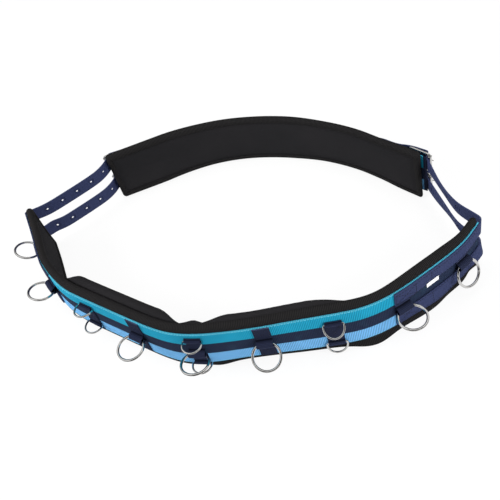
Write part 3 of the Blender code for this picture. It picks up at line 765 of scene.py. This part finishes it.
def stuff(obj, s, base):
    """Blow the cushion up as cloth, held where it is sewn, and keep the result."""
    modify(obj, "REMESH", mode="VOXEL", voxel_size=CUSHION_VOXEL)
    obj.data = applied(obj)
    start = coordinates(obj)
    fine = np.linspace(s.min(), s.max(), 400)
    sewn_line = ROLLER.place(fine, np.full_like(fine, base), 0)[:, :2]
    _, normal = ROLLER.plan(fine, 0.0)
    gap = start[:, None, :2] - sewn_line[None]
    nearest = np.argmin((gap ** 2).sum(2), 1)
    inward = -(gap[np.arange(len(start)), nearest] * normal[nearest]).sum(1)
    held = obj.vertex_groups.new(name="sewn")
    held.add([int(i) for i in np.nonzero(inward < SEWN_WITHIN)[0]], 1.0, "REPLACE")
    cloth = settle(modify(obj, "CLOTH").settings, vertex_group_mass="sewn", use_pressure=True,
                   uniform_pressure_force=CUSHION_PRESSURE)
    cloth.effector_weights.gravity = 0
    for number in range(1, CUSHION_FRAMES + 1):
        SCENE.frame_set(number)
    obj.data = applied(obj)
    SCENE.frame_set(1)
    moved = coordinates(obj) - start
    far = np.linalg.norm(moved, axis=1, keepdims=True)
    moved = moved * np.minimum(1, CUSHION_CAP / np.maximum(far, 1e-9))
    obj.data.vertices.foreach_set("co", (start + moved).astype(np.float32).ravel())
    modify(obj, "SMOOTH", iterations=4, factor=0.5)
    modify(obj, "SUBSURF", levels=1, render_levels=1)
    obj.data.shade_smooth()


def applied(obj):
    """The object's mesh with its modifiers applied and removed."""
    bpy.context.view_layer.update()
    graph = bpy.context.evaluated_depsgraph_get()
    mesh = bpy.data.meshes.new_from_object(obj.evaluated_get(graph))
    obj.modifiers.clear()
    return mesh


# Webbing and straps.

WEB_END_TAPE = 9.0
STRAP_CLEAR = 0.1


def webbing(band, overrun, look):
    """Ribbed webbing on a band's outer face."""
    line, ends, height = BANDS[band]
    s = np.arange(ends[0] - overrun, ends[1] + WEB_OVERRUN + 0.01, RIB_STEP)
    inset = np.r_[0.0, 0.15, 0.6, 1.6, np.linspace(3.0, WEB_WIDTH / 2, 10)]
    across = np.r_[inset, WEB_WIDTH - inset[-2::-1]]
    edge = np.minimum(across, WEB_WIDTH - across)
    face = GAP + WEB_THICK - RIB_DEPTH - 0.9 * (1 - ease(edge, 0, 0.6)) + 0.25 * bell(edge, 1.4, 0.9)
    rib = 0.5 + 0.5 * np.sin(2 * pi * s / RIB_PITCH)
    outer = face[None] + (rib[:, None] * ease(edge, 0.2, 1.6)[None]) * RIB_DEPTH
    back = across[::-1]
    out = np.concatenate((outer, np.full((len(s), len(back)), GAP + 0.02)), 1)
    z = (height - WEB_WIDTH) / 2 + np.r_[across, back]
    along, up = np.broadcast_arrays(s[:, None], z[None])
    uv = np.stack((along * MM, up * MM), -1)
    obj = sweep(f"{band}_striped_webbing", line.place(along, out, up), look, uv)
    dress(obj, "webbing", f"{band}_webbing")


def web_end():
    """Navy tape on the girth webbing's cut end."""
    up = np.linspace(GIRTH_MID - WEB_WIDTH / 2, GIRTH_MID + WEB_WIDTH / 2, 40)
    s, z = np.meshgrid(np.linspace(-WEB_END_TAPE, -WEB_OVERRUN, 9), up, indexing="ij")
    swell = 0.3 * bell(s, -WEB_END_TAPE + 1.5, 1.5)
    points = GIRTH.place(s, GAP + WEB_THICK / 2 - 0.25 + swell, z)
    dress(strip("girth_web_end_tape", points, np.stack((z, s), -1) * MM, 1.5, TAB_NAVY), "navy")


def inboard(side, u):
    """Distance along the girth of a place u inboard of an end."""
    return u if side > 0 else GIRTH_LENGTH - u


def billet_buckle_route(side):
    """The billet's middle line: under the roller, up over the tongue, then flat."""
    u0 = BUCKLE_START[side]
    half = BILLET_THICK / 2
    under = arc((u0, BUCKLE_AXIS), BILLET_ROUND_ROLLER, *BILLET_WRAP, 3)
    rise = radians(BILLET_WRAP[1])
    leave = np.array(under[-1])
    upward = np.array((-sin(rise), cos(rise)))
    top_start = leave + upward * (BILLET_TO_TONGUE + 0.9)
    top_centre = top_start + BILLET_TOP_BEND * np.array((upward[1], -upward[0]))
    over = [tuple(leave + upward * BILLET_TO_TONGUE)]
    over += arc(top_centre, BILLET_TOP_BEND, BILLET_WRAP[1] + 180, 90, 3)
    on_chape = ON_WEB + 2 * BUCKLE_PLY + 2 * GAP + half
    chape_end = u0 + BUCKLE_CHAPE_LENGTH
    tail_start, tail_end = chape_end + 10, u0 + BILLET_TAIL
    bends = [u for u in GIRTH.at if tail_start < u < tail_end]
    flat = [(u0 + 40, BUCKLE_AXIS + 6.6), (u0 + 60, on_chape), (chape_end, on_chape)]
    flat += [(u, ON_WEB + half) for u in [tail_start] + bends + [tail_end]]
    return under + over + flat, len(under)


def billet_line(side):
    """The billet from its sewn end to its tail, and where its buckled hole and drop are."""
    out = ON_WEB + BILLET_THICK / 2
    sewn = [i for i, s in enumerate(ROLLER.at) if s * side > BILLET_SEWN_FROM][::side]
    clear_of_webbing = abs(ROLLER_ENDS[(side + 1) // 2]) + WEB_OVERRUN + 3
    start, stop = (ROLLER.plan(side * s, out)[0] for s in (BILLET_SEWN_FROM, clear_of_webbing))
    on_roller = [start] + [ROLLER.corner(i, out) for i in sewn] + [stop]
    route, hole_at = billet_buckle_route(side)
    on_girth = [GIRTH.plan(inboard(side, u), out)[0] for u, out in route]
    bend = list(smooth_line([stop] + FREE_BILLET[side] + [on_girth[0]], 4)[1:-1])
    line = SoftLine(on_roller + bend + on_girth)
    first, last = len(on_roller) - 1, len(on_roller) + len(bend)
    return line, line.at[last + hole_at], line.at[first], line.at[last]


HOLE_RADIUS = 2.0
HOLE_RIM = 0.6
HOLE_CELLS = 8
CELLS_PER_PITCH = 28
BILLET_CELLS = 24
# How a billet's free run waves: its height, place and run, and how much it differs across the strap.
RIPPLES = {"left_lower": (-4.0, 32.0, 15.0, 0.4), "right_lower": (-3.0, 75.0, 45.0, -2.0),
           "right_upper": (2.5, 95.0, 45.0, 2.0)}
SEWN_LIFT = {"left_upper": 3.2, "right_upper": 2.2}


def billet(tag, side, z_middle):
    """A punched strap: a grid with round holes set into blocks of cells."""
    line, hole, drop_from, drop_to = billet_line(side)
    step = HOLE_PITCH / CELLS_PER_PITCH
    first, last = ceil(-hole / step), floor((line.at[-1] - hole) / step)
    x = hole + step * np.arange(first, last + 1)
    across = np.linspace(-BILLET_WIDTH / 2, BILLET_WIDTH / 2, BILLET_CELLS + 1)
    n, m = len(x), len(across)
    flat = [np.stack(np.meshgrid(x, across, indexing="ij"), -1).reshape(-1, 2)]
    grid = np.arange(n * m).reshape(n, m)
    whole = np.ones((n - 1, m - 1), bool)
    count, rims = n * m, []
    half = HOLE_CELLS // 2
    for k in HOLES:
        column = k * CELLS_PER_PITCH - first
        if not half < column < n - half - 1:
            continue
        i, j = column - half, BILLET_CELLS // 2 - half
        whole[i:i + HOLE_CELLS, j:j + HOLE_CELLS] = False
        outer = around(grid[i:i + HOLE_CELLS + 1, j:j + HOLE_CELLS + 1].T)
        centre = np.array((x[column], 0.0))
        spokes = unit(flat[0][outer] - centre)
        for radius in (HOLE_RADIUS + HOLE_RIM, HOLE_RADIUS):
            flat.append(centre + spokes * radius)
            inner = list(range(count, count + len(outer)))
            rims += bridge(outer, inner)
            count, outer = count + len(outer), inner
    faces = [f for f, keep in zip(quads(n, m), whole.ravel()) if keep] + rims
    flat = np.vstack(flat)
    along, up = flat.T
    sewn = 1 - ease(along, drop_from - 5, drop_from + 45)
    height = z_middle + up + SEWN_LIFT.get(tag, 0.0) * sewn
    out = side * sewn * roller_lean(side * (BILLET_SEWN_FROM + along), height)
    if tag in RIPPLES:
        rise, place, run, skew = RIPPLES[tag]
        wave = rise * bell(along, drop_from + place, run)
        out -= side * wave * (1 + skew * up / BILLET_WIDTH)
    verts = line.place(along, out, height - BILLET_DROP * ease(along, drop_from, drop_to))
    obj = piece(f"billet_{tag}_strap", verts, faces, BILLET_NAVY, flat * MM, closed=False)
    thicken(obj, BILLET_THICK - STRAP_CLEAR, 0.4)
    return dress(obj, "navy", f"billet_{tag}")


def ring_seat():
    """How far a ring's axis is from its middle, and how far its wire swings there."""
    inner = (RING_RADIUS - RING_WIRE / 2) * cos(pi / RING_RUNS)
    top = RING_RADIUS + RING_WIRE / 2
    low = sqrt(inner ** 2 - (TAB_WIDTH / 2) ** 2)
    return (top + low) / 2, (top - low) / 2


HUMP_FLATS = cos(radians(15))
RING_ARM, RING_SWEEP = ring_seat()
RING_TUNNEL = (RING_SWEEP + GAP) / HUMP_FLATS
DEE_TUNNEL = (DEE_WIRE / 2 + GAP) / HUMP_FLATS
FOLD_ABOVE_DEE = 4.5


def seat(node):
    """Height of a ring or dee, and the radius of the tunnel that it turns in."""
    return (RINGS[node][0], RING_TUNNEL) if node in RINGS else (DEES[node][0], DEE_TUNNEL)


def tab_profile(low, high, seats):
    """Middle line of a tab: flat on the webbing, looped out round each seat."""
    flat = ON_WEB + TAB_THICK / 2
    profile = [(flat, low)]
    for z, tunnel in seats:
        radius = tunnel + TAB_THICK / 2
        hump = arc((ON_WEB + tunnel, z), radius, -90, 90, 14)
        profile += [(flat, z - radius)] + hump + [(flat, z + radius)]
    return rounded(profile + [(flat, high)], 1.6, 4)


def tab_fold_light_shade(path, high, seats):
    """Painted light and shade on a tab: a painted highlight (1) along its top fold edge and below the front
    of each loop, and painted shade (-1) in the crease over each loop.
    """
    out, z = path.T
    # Painted highlight along the top fold edge.
    fold_light_shade = 0.7 * bell(z, high - 0.5, 1.0)
    for level, tunnel in seats:
        turn = np.degrees(np.arctan2(z - level, out - ON_WEB - tunnel))
        near = np.hypot(z - level, out - ON_WEB - tunnel) < tunnel + 2 * TAB_THICK
        # Painted highlight below the front of each loop, and painted shade in the crease above it.
        crease = np.hypot(z - level - tunnel - TAB_THICK, out - ON_WEB - TAB_THICK)
        fold_light_shade = fold_light_shade + near * bell(turn, -26, 13) - bell(crease, 0, 2.2)
    return fold_light_shade


def strap_uv(across, dist):
    return np.stack(np.meshgrid(across * MM, dist * MM), -1)[..., ::-1]


def tab(name, step, low, high, *nodes):
    seats = [seat(node) for node in nodes]
    path, dist = resample(tab_profile(low, high, seats), 0.8)
    across = np.linspace(-TAB_WIDTH / 2, TAB_WIDTH / 2, 17)
    s, d = np.meshgrid(TABS[step] + across, path[:, 0])
    points = ROLLER.place(s, d, np.broadcast_to(path[:, 1:], s.shape))
    obj = strip(f"{name}_strap", points, strap_uv(across, dist), TAB_THICK - STRAP_CLEAR, TAB_NAVY)
    # Painted highlights and painted shade at the tab's folds, stored for its material.
    layer = obj.data.attributes.new("fold_light_shade", "FLOAT", "POINT")
    folds = np.repeat(tab_fold_light_shade(path, high, seats), len(across))
    layer.data.foreach_set("value", folds.astype(np.float32))
    return dress(obj, "navy", name)


def tabs():
    low, high = ROLLER_MID - WEB_WIDTH / 2 + 1, ROLLER_MID + WEB_WIDTH / 2 - 1
    half_gap = (BILLET_SPACING - BILLET_WIDTH) / 2 - GAP
    tab("centre_tab", 0, low - 2, DEES["dee_centre_upper"][0] + FOLD_ABOVE_DEE,
        "dee_centre_lower", "ring_centre", "dee_centre_upper")
    for side, step in (("left", -1), ("right", 1)):
        tab(f"tab_{side}_1", step, low, high, f"ring_{side}_1")
        pair = [f"dee_{side}_2_{level}" for level in ("lower", "upper")]
        tab(f"tab_{side}_2", 2 * step, low, DEES[pair[1]][0] + FOLD_ABOVE_DEE, *pair)
        for n in (3, 4):
            tab(f"ring_chape_{side}_{n}", n * step, ROLLER_MID - half_gap, ROLLER_MID + half_gap,
                f"ring_{side}_{n}")


# Metal.

def tube(name, path, radii, sides, flat=1, closed=True):
    """A round wire along a path in the local XZ plane, or XY where flat is 2."""
    path = np.insert(np.asarray(path, float), flat, 0.0, axis=1)
    ahead = np.roll(path, -1, 0) - np.roll(path, 1, 0)
    if not closed:
        ahead[0], ahead[-1] = path[1] - path[0], path[-1] - path[-2]
    across = np.eye(3)[flat]
    side = np.cross(unit(ahead), across)
    turns = np.linspace(0, 2 * pi, sides, endpoint=False)
    ring = np.cos(turns)[None, :, None] * side[:, None] + np.sin(turns)[None, :, None] * across
    rings = path[:, None] + ring * np.broadcast_to(radii, len(path))[:, None, None]
    return sweep(name, rings * MM, NICKEL, ring_closed=closed)


def hang(node, tilt, path, radii, sides):
    """A ring or dee on its joint: X along the hinge, Z up, tipped outward."""
    along, up = Vector(JOINTS[node]["axis"]), Vector((0, 0, 1))
    axes = Matrix((along, up.cross(along), up)).transposed().to_4x4()
    tip = Matrix.Rotation(radians(tilt), 4, "X")
    obj = tube(f"{node}_wire", path, radii, sides)
    obj.matrix_world = Matrix.Translation(JOINTS[node]["pos_m"]) @ axes @ tip
    dress(obj, "nickel", node, body=node)


WELD_WIDTH = 0.07
WELD_HEIGHT = 0.22
FIRST_WELD, WELD_TURN = 150, 37


def rings():
    """Round rings, each with a slight weld bead at its own place."""
    turn = np.linspace(0, 2 * pi, 120, endpoint=False)
    loop = np.c_[RING_RADIUS * np.sin(turn), RING_RADIUS * np.cos(turn) - RING_ARM]
    for number, (node, (_, tilt)) in enumerate(RINGS.items()):
        away = (turn - radians(FIRST_WELD + WELD_TURN * number) + pi) % (2 * pi) - pi
        hang(node, tilt, loop, RING_WIRE / 2 + WELD_HEIGHT * bell(away, 0, WELD_WIDTH), 24)


def dees():
    half = (DEE_INSIDE + DEE_WIRE) / 2
    corner, bow_start = 2.6, 4.0
    bow = [(half * cos(t), -bow_start - (DEE_DROP - bow_start) * sin(t))
           for t in np.radians(np.linspace(0, 180, 33))]
    bar = arc((-half + corner, -corner), corner, 180, 90, 6) + arc((half - corner, -corner), corner, 90, 0, 6)
    loop, _ = resample_loop(bow + bar, 1.0)
    for node, (_, tilt) in DEES.items():
        hang(node, tilt, loop, DEE_WIRE / 2, 20)


def buckle_frame(node):
    half = (BUCKLE_INSIDE + BUCKLE_WIRE) / 2
    path, _ = round_box((0, BUCKLE_REACH), (-half, half), 3.0, 7, 1.0, 0)
    return tube(f"{node}_wire", path, BUCKLE_WIRE / 2, 16)


def buckle_roller(node):
    """A rolled sleeve with flared ends, on the frame's front bar."""
    outer, inner = BUCKLE_ROLLER / 2, BUCKLE_WIRE / 2 + GAP
    half = BUCKLE_ROLLER_LENGTH / 2
    wall = [(inner, -half + 0.5), (inner + 0.4, -half), (outer - 0.5, -half), (outer, -half + 0.6),
            (outer - 0.25, -half + 2.2)]
    wall = rounded(wall + [(r, -z) for r, z in wall[::-1]], 0.4, 3)
    turns = np.linspace(0, 2 * pi, 40, endpoint=False)
    seam = 1 - 0.03 * bell(turns, pi, 0.06)
    rows = [np.c_[wall[:, 0] * k * cos(t), wall[:, 0] * k * sin(t), wall[:, 1]]
            for t, k in zip(turns, seam)]
    return sweep(f"{node}_sleeve", np.stack(rows) * MM, NICKEL, ring_closed=True)


def buckle_tongue(node):
    """The tongue's eye round the pivot bar, and its tapered arm."""
    eye = (BUCKLE_WIRE + TONGUE_WIRE) / 2 + GAP
    route = arc((0, 0), eye, -190, 95, 24)
    on_roller = np.array((-BUCKLE_REACH, BUCKLE_ROLLER / 2 + GAP + TONGUE_WIRE / 2))
    along = on_roller - route[-1]
    route.append(tuple(on_roller + TONGUE_TIP * along / np.linalg.norm(along)))
    path, dist = resample(rounded(route, 3.0), 0.7)
    taper = TONGUE_WIRE / 2 * (1 - 0.45 * ease(dist, dist[-1] - 9, dist[-1]))
    return tube(f"{node}_wire", path, taper, 14, flat=2, closed=False)


def buckle_chape(node):
    """Webbing folded round the pivot bar, slotted for the tongue."""
    half_ply = BUCKLE_PLY / 2
    bend = BUCKLE_WIRE / 2 + GAP + half_ply
    low = ON_WEB + half_ply - BUCKLE_AXIS
    high = low + BUCKLE_PLY + GAP
    end = BUCKLE_CHAPE_LENGTH - BUCKLE_REACH - 4
    route = [(end, low), (16, low), (4, -bend)] + arc((0, 0), bend, -90, -270, 14)
    route += [(4, bend), (20, high), (end, high)]
    path, dist = resample(rounded(route, 3.0), 0.9)
    cells, slot_end, slot_half = 20, 8, 3.0
    across = np.linspace(-BILLET_WIDTH / 2, BILLET_WIDTH / 2, cells + 1)
    points = np.stack([np.insert(path, 2, a, axis=1) for a in across], 1)
    in_slot = {i * cells + j for i in range(len(path) - 1) for j in range(cells)
               if path[i, 0] < slot_end and abs(across[j] + across[j + 1]) / 2 < slot_half}
    return strip(f"{node}_strap", points * MM, strap_uv(across, dist), BUCKLE_PLY - STRAP_CLEAR, TAB_NAVY,
                 skip=in_slot)


def buckle(tag, side):
    """A buckle's pieces, with X inboard, Y outward and Z across the strap."""
    front, pivot = (Vector(JOINTS[f"buckle_{part}_{tag}"]["pos_m"]) for part in ("roller", "tongue"))
    ahead, across = (pivot - front).normalized(), Vector((0, 0, -side))
    axes = Matrix((ahead, across.cross(ahead), across)).transposed().to_4x4()
    for part, make, at, slot in (("frame", buckle_frame, front, "nickel"),
                                 ("roller", buckle_roller, front, "nickel"),
                                 ("tongue", buckle_tongue, pivot, "nickel"),
                                 ("chape", buckle_chape, pivot, "navy")):
        node = f"buckle_{part}_{tag}"
        obj = make(node)
        obj.matrix_world = Matrix.Translation(at) @ axes
        dress(obj, slot, node, body=node if node in JOINTS else "belt")


# Stitching and the label.

def bead(sides):
    """One stitch of unit size: a tip, two rings and a tip."""
    turns = np.linspace(0, 2 * pi, sides, endpoint=False)
    rings = [(x, cos(t), sin(t)) for x in (-0.72, 0.72) for t in turns]
    return np.array([(-1, 0, 0)] + rings + [(1, 0, 0)])


class Thread:
    """Rows of stitches gathered into one piece."""

    SIDES = 6
    BEAD = bead(SIDES)

    def __init__(self):
        self.verts = []

    def row(self, line, start, stop, out):
        """Stitches between two places, given as distances along and up."""
        start, stop = np.array(start, float), np.array(stop, float)
        run = np.linalg.norm(stop - start)
        count = max(1, round(run / STITCH_PITCH))
        middle = (np.arange(count) + 0.5) / count
        reach = STITCH_LENGTH / run / 2
        flat = [start + (stop - start) * share[:, None] for share in (middle - reach, middle, middle + reach)]
        first, last = (line.place(place[:, 0], out, place[:, 1]) for place in (flat[0], flat[2]))
        normal = np.insert(line.plan(flat[1][:, 0], 0.0)[1], 2, 0.0, axis=1)
        along = (last - first) / 2
        across = np.cross(normal, unit(along)) * STITCH_WIDTH / 2 * MM
        rise = normal * STITCH_WIDTH * STITCH_RISE * MM
        x, y, z = (self.BEAD[None, :, i:i + 1] for i in range(3))
        self.verts.append(((first + last) / 2)[:, None] + x * along[:, None] + y * across[:, None]
                          + z * rise[:, None])

    def box(self, line, x, z, out, cross=False):
        """A sewn rectangle, with a cross in it if wanted."""
        corners = [(x[0], z[0]), (x[1], z[0]), (x[1], z[1]), (x[0], z[1])]
        rows = list(zip(corners, corners[1:] + corners[:1]))
        for a, b in rows + (list(zip(corners[:2], corners[2:])) if cross else []):
            self.row(line, a, b, out)

    def sew(self, name, look, slot):
        verts = np.concatenate(self.verts)
        count, size = verts.shape[:2]
        pairs = [(j, (j + 1) % self.SIDES) for j in range(self.SIDES)]
        far = 1 + self.SIDES
        one = [[0, 1 + b, 1 + a] for a, b in pairs]
        one += [[1 + a, 1 + b, far + b, far + a] for a, b in pairs]
        one += [[size - 1, far + a, far + b] for a, b in pairs]
        faces = [[i * size + v for v in f] for i in range(count) for f in one]
        return dress(piece(name, verts, faces, look), slot)


ON_RIBS = GAP + WEB_THICK + 0.05
ON_BILLET = ON_WEB + BILLET_THICK + 0.05
ON_TAB = ON_WEB + TAB_THICK + 0.02
ON_CHAPE = ON_WEB + 2 * BUCKLE_PLY + GAP + 0.05
EDGE_SEAM = 2.5
SEAM_HALF = 9.5
BILLET_SEAM = 34
CENTRE_SEAMS = ((22.5, 36.5), (54.5, 70.5))
RING_TAB_SEAMS = ((15.5, 40.5), (59.5, 84.5))
DEE_TAB_SEAM = (32.5, 62.5)
CHAPE_SEAMS = ((20, 34), (34, 46))


def sew_webbing():
    """Edge rows on both webbings."""
    pale = Thread()
    for line, height, ends in ((ROLLER, ROLLER_HEIGHT, ROLLER_ENDS),
                               (GIRTH, GIRTH_HEIGHT, (2, GIRTH_LENGTH - 2))):
        edge = (height - WEB_WIDTH) / 2 + 1.3
        for z in (height - edge, edge):
            pale.row(line, (ends[0], z), (ends[1], z), ON_RIBS)
    pale.sew("webbing_stitches", BLUE_THREAD, "webbing")


def sew_straps():
    """Seams on the billets, the tabs and the buckle chapes."""
    navy = Thread()

    def tab_box(x, z, cross):
        navy.box(ROLLER, (x - SEAM_HALF, x + SEAM_HALF), z, ON_TAB, cross)

    for side in (-1, 1):
        start, stop = side * (BILLET_SEWN_FROM + EDGE_SEAM), ROLLER_ENDS[(side + 1) // 2] - side * 4
        crossed = start + side * BILLET_SEAM
        for level in (-1, 1):
            middle = ROLLER_MID + level * BILLET_SPACING / 2
            low, high = middle - SEAM_HALF, middle + SEAM_HALF
            edges = (middle + edge * (BILLET_WIDTH / 2 - EDGE_SEAM) for edge in (-1, 1))
            rows = [((start, z), (stop, z)) for z in edges]
            rows += [((x, low), (x, high)) for x in (start, crossed, start + side * 62)]
            rows += [((start, low), (crossed, high)), ((start, high), (crossed, low))]
            for first, last in rows:
                navy.row(ROLLER, first, last, ON_BILLET)
        for z in RING_TAB_SEAMS:
            tab_box(TABS[side], z, True)
        tab_box(TABS[2 * side], DEE_TAB_SEAM, True)
        for level in (-1, 1):
            middle = GIRTH_MID + level * BILLET_SPACING / 2
            for seam in CHAPE_SEAMS:
                run = sorted(inboard(side, BUCKLE_START[side] + BUCKLE_REACH + u) for u in seam)
                navy.box(GIRTH, run, (middle - SEAM_HALF, middle + SEAM_HALF), ON_CHAPE)
    for z in CENTRE_SEAMS:
        tab_box(0, z, False)
    navy.sew("strap_stitches", NAVY_THREAD, "navy")


LABEL_SIZE = (22.0, 9.0)
LABEL_AT = 349.0
LABEL_DROP = 3


def label():
    """A small bare label at the lower edge of the upper right billet."""
    low = ROLLER_MID + (BILLET_SPACING - BILLET_WIDTH) / 2 - LABEL_DROP
    half, tall = LABEL_SIZE[0] / 2, LABEL_SIZE[1]
    s, z = np.meshgrid(np.linspace(-half, half, 25), np.linspace(0, tall, 9), indexing="ij")
    lift = 0.35 * bell(np.abs(s), half - 1.2, 1.0) + 0.15 * np.sin(z * 0.9)
    points = ROLLER.place(LABEL_AT + s, ON_WEB + BILLET_THICK + GAP + 0.3 + lift, low + z)
    dress(strip("label_bare_tag", points, np.stack((s, z), -1) * MM, 0.4, LABEL, 0.12), "label", "label_bare")


# Camera, light and floor.

CAMERA_AT = (0.38198, -0.66149, 0.87)
CAMERA_LENS = 50.5
CAMERA_SENSOR = 36
CAMERA_DOWN = 48.34
CAMERA_ROLL = -18.77
CAMERA_TURN = 28.5
WHITE = (1, 1, 1)
AMBIENT = 0.31
FLOOR_GLOW = 0.88
FLOOR_SIZE = 12.0
FLOOR_DEPTH = 0.0005
AIM = (0, -0.1, 0.05)
# Each card: where it stands, what it faces and its size.
CARDS = {"flag_front": ((0.75, -1.35, 1.55), AIM, (2.6, 1.5)),
         "flag_low_front": ((0.2, -2.1, 0.4), AIM, (3.4, 0.7)),
         "flag_left": ((-2.4, 0.3, 0.45), AIM, (2.4, 0.8)),
         "flag_right": ((2.3, -0.3, 0.6), AIM, (2.6, 1.1)),
         "flag_back": ((-0.8, 1.5, 1.60), AIM, (2.6, 1.3)),
         "flag_low_back": ((0.0, 2.4, 0.4), AIM, (3.6, 0.7)),
         "flag_floor": ((0.0, -0.62, 0.001), (0, -0.62, -1), (1.6, 0.66)),
         "flag_floor_left": ((-0.62, 0.05, 0.001), (-0.62, 0.05, -1), (0.36, 0.66))}
# Each light: where it stands, what it faces, its size and its power.
LIGHTS = {"left_box": ((-1.7, -0.6, 0.9), (0, 0, 0.05), (1.2, 1.2), 42),
          "right_box": ((1.75, -0.8, 1.0), (0, 0, 0.05), (1.2, 1.2), 36),
          "top_box": ((0.0, 0.3, 2.2), (0, 0, 0), (2.0, 1.6), 26)}


def camera():
    data = settle(bpy.data.cameras.new("camera"), lens=CAMERA_LENS, sensor_width=CAMERA_SENSOR)
    obj = add("camera", data)
    obj.matrix_world = Matrix.Translation(CAMERA_AT)
    for angle, axis in ((CAMERA_TURN, "Z"), (90 - CAMERA_DOWN, "X"), (CAMERA_ROLL, "Z")):
        obj.matrix_world @= Matrix.Rotation(radians(angle), 4, axis)
    SCENE.camera = obj


def world():
    """A soft even light, and a white background where it is seen."""
    SCENE.world = bpy.data.worlds.new("studio")
    SCENE.world.use_nodes = True
    tree = Nodes(SCENE.world.node_tree)
    tree.nodes.clear()
    soft, white = (tree.add("Background", WHITE, strength)[0] for strength in (AMBIENT, 1.0))
    tree.add("OutputWorld", tree.add("MixShader", tree.seen_directly(), soft, white)[0])
    SCENE.view_settings.view_transform = "Standard"


def staged_sheet(name, size, look, at, aim):
    x, y = size[0] / 2, size[1] / 2
    mesh = bpy.data.meshes.new(name)
    mesh.from_pydata([(-x, -y, 0), (x, -y, 0), (x, y, 0), (-x, y, 0)], [], [(0, 1, 2, 3)])
    mesh.materials.append(look)
    obj = add(name, mesh, at, aim)
    return obj


def ground():
    """A pale floor that reads as white and keeps a faint shadow."""
    look = Look("floor_white", Base_Color=(0.92, 0.92, 0.92), Roughness=0.9)
    share = look.maths("MULTIPLY", look.seen_directly(), FLOOR_GLOW)
    mixed = look.add("MixShader", share, look.shader.outputs[0], look.add("Emission")[0])[0]
    look.feed(look.nodes["Material Output"].inputs["Surface"], mixed)
    staged_sheet("floor", (FLOOR_SIZE, FLOOR_SIZE), look.material, (0, 0, -FLOOR_DEPTH), None)


def cards():
    """Black studio cards that only the metal mirrors, which give it dark bands."""
    for name, (at, aim, size) in CARDS.items():
        obj = staged_sheet(name, size, BLACK_CARD, at, aim)
        for ray in ("camera", "diffuse", "transmission", "volume_scatter", "shadow"):
            setattr(obj, f"visible_{ray}", False)


def lights():
    for name, (at, aim, size, power) in LIGHTS.items():
        data = settle(bpy.data.lights.new(name, "AREA"), shape="RECTANGLE", size=size[0], size_y=size[1],
                      energy=power)
        add(name, data, at, aim).visible_glossy = False


# The object.

pad("roller", 1.0, (4.8, 0, 24.0), (3.4, 4, 11.0))
binding("roller")
webbing("roller", WEB_OVERRUN, ROLLER_WEB)
withers_pad("left", -1, 19.5, (6.0, 62.0), (248.0, 16.0))
withers_pad("right", 1, 15.5, (5.0, 48.0), (263.0, 100.0), sunk=4.0)
pad("girth", 0.8)
binding("girth")
webbing("girth", 1.75 * WEB_OVERRUN, GIRTH_WEB)
web_end()
tabs()
rings()
dees()
for side, side_name in ((-1, "left"), (1, "right")):
    for level, level_name in ((1, "upper"), (-1, "lower")):
        tag = f"{side_name}_{level_name}"
        billet(tag, side, ROLLER_MID + level * BILLET_SPACING / 2)
        buckle(tag, side)
sew_webbing()
sew_straps()
label()

camera()
world()
ground()
cards()
lights()
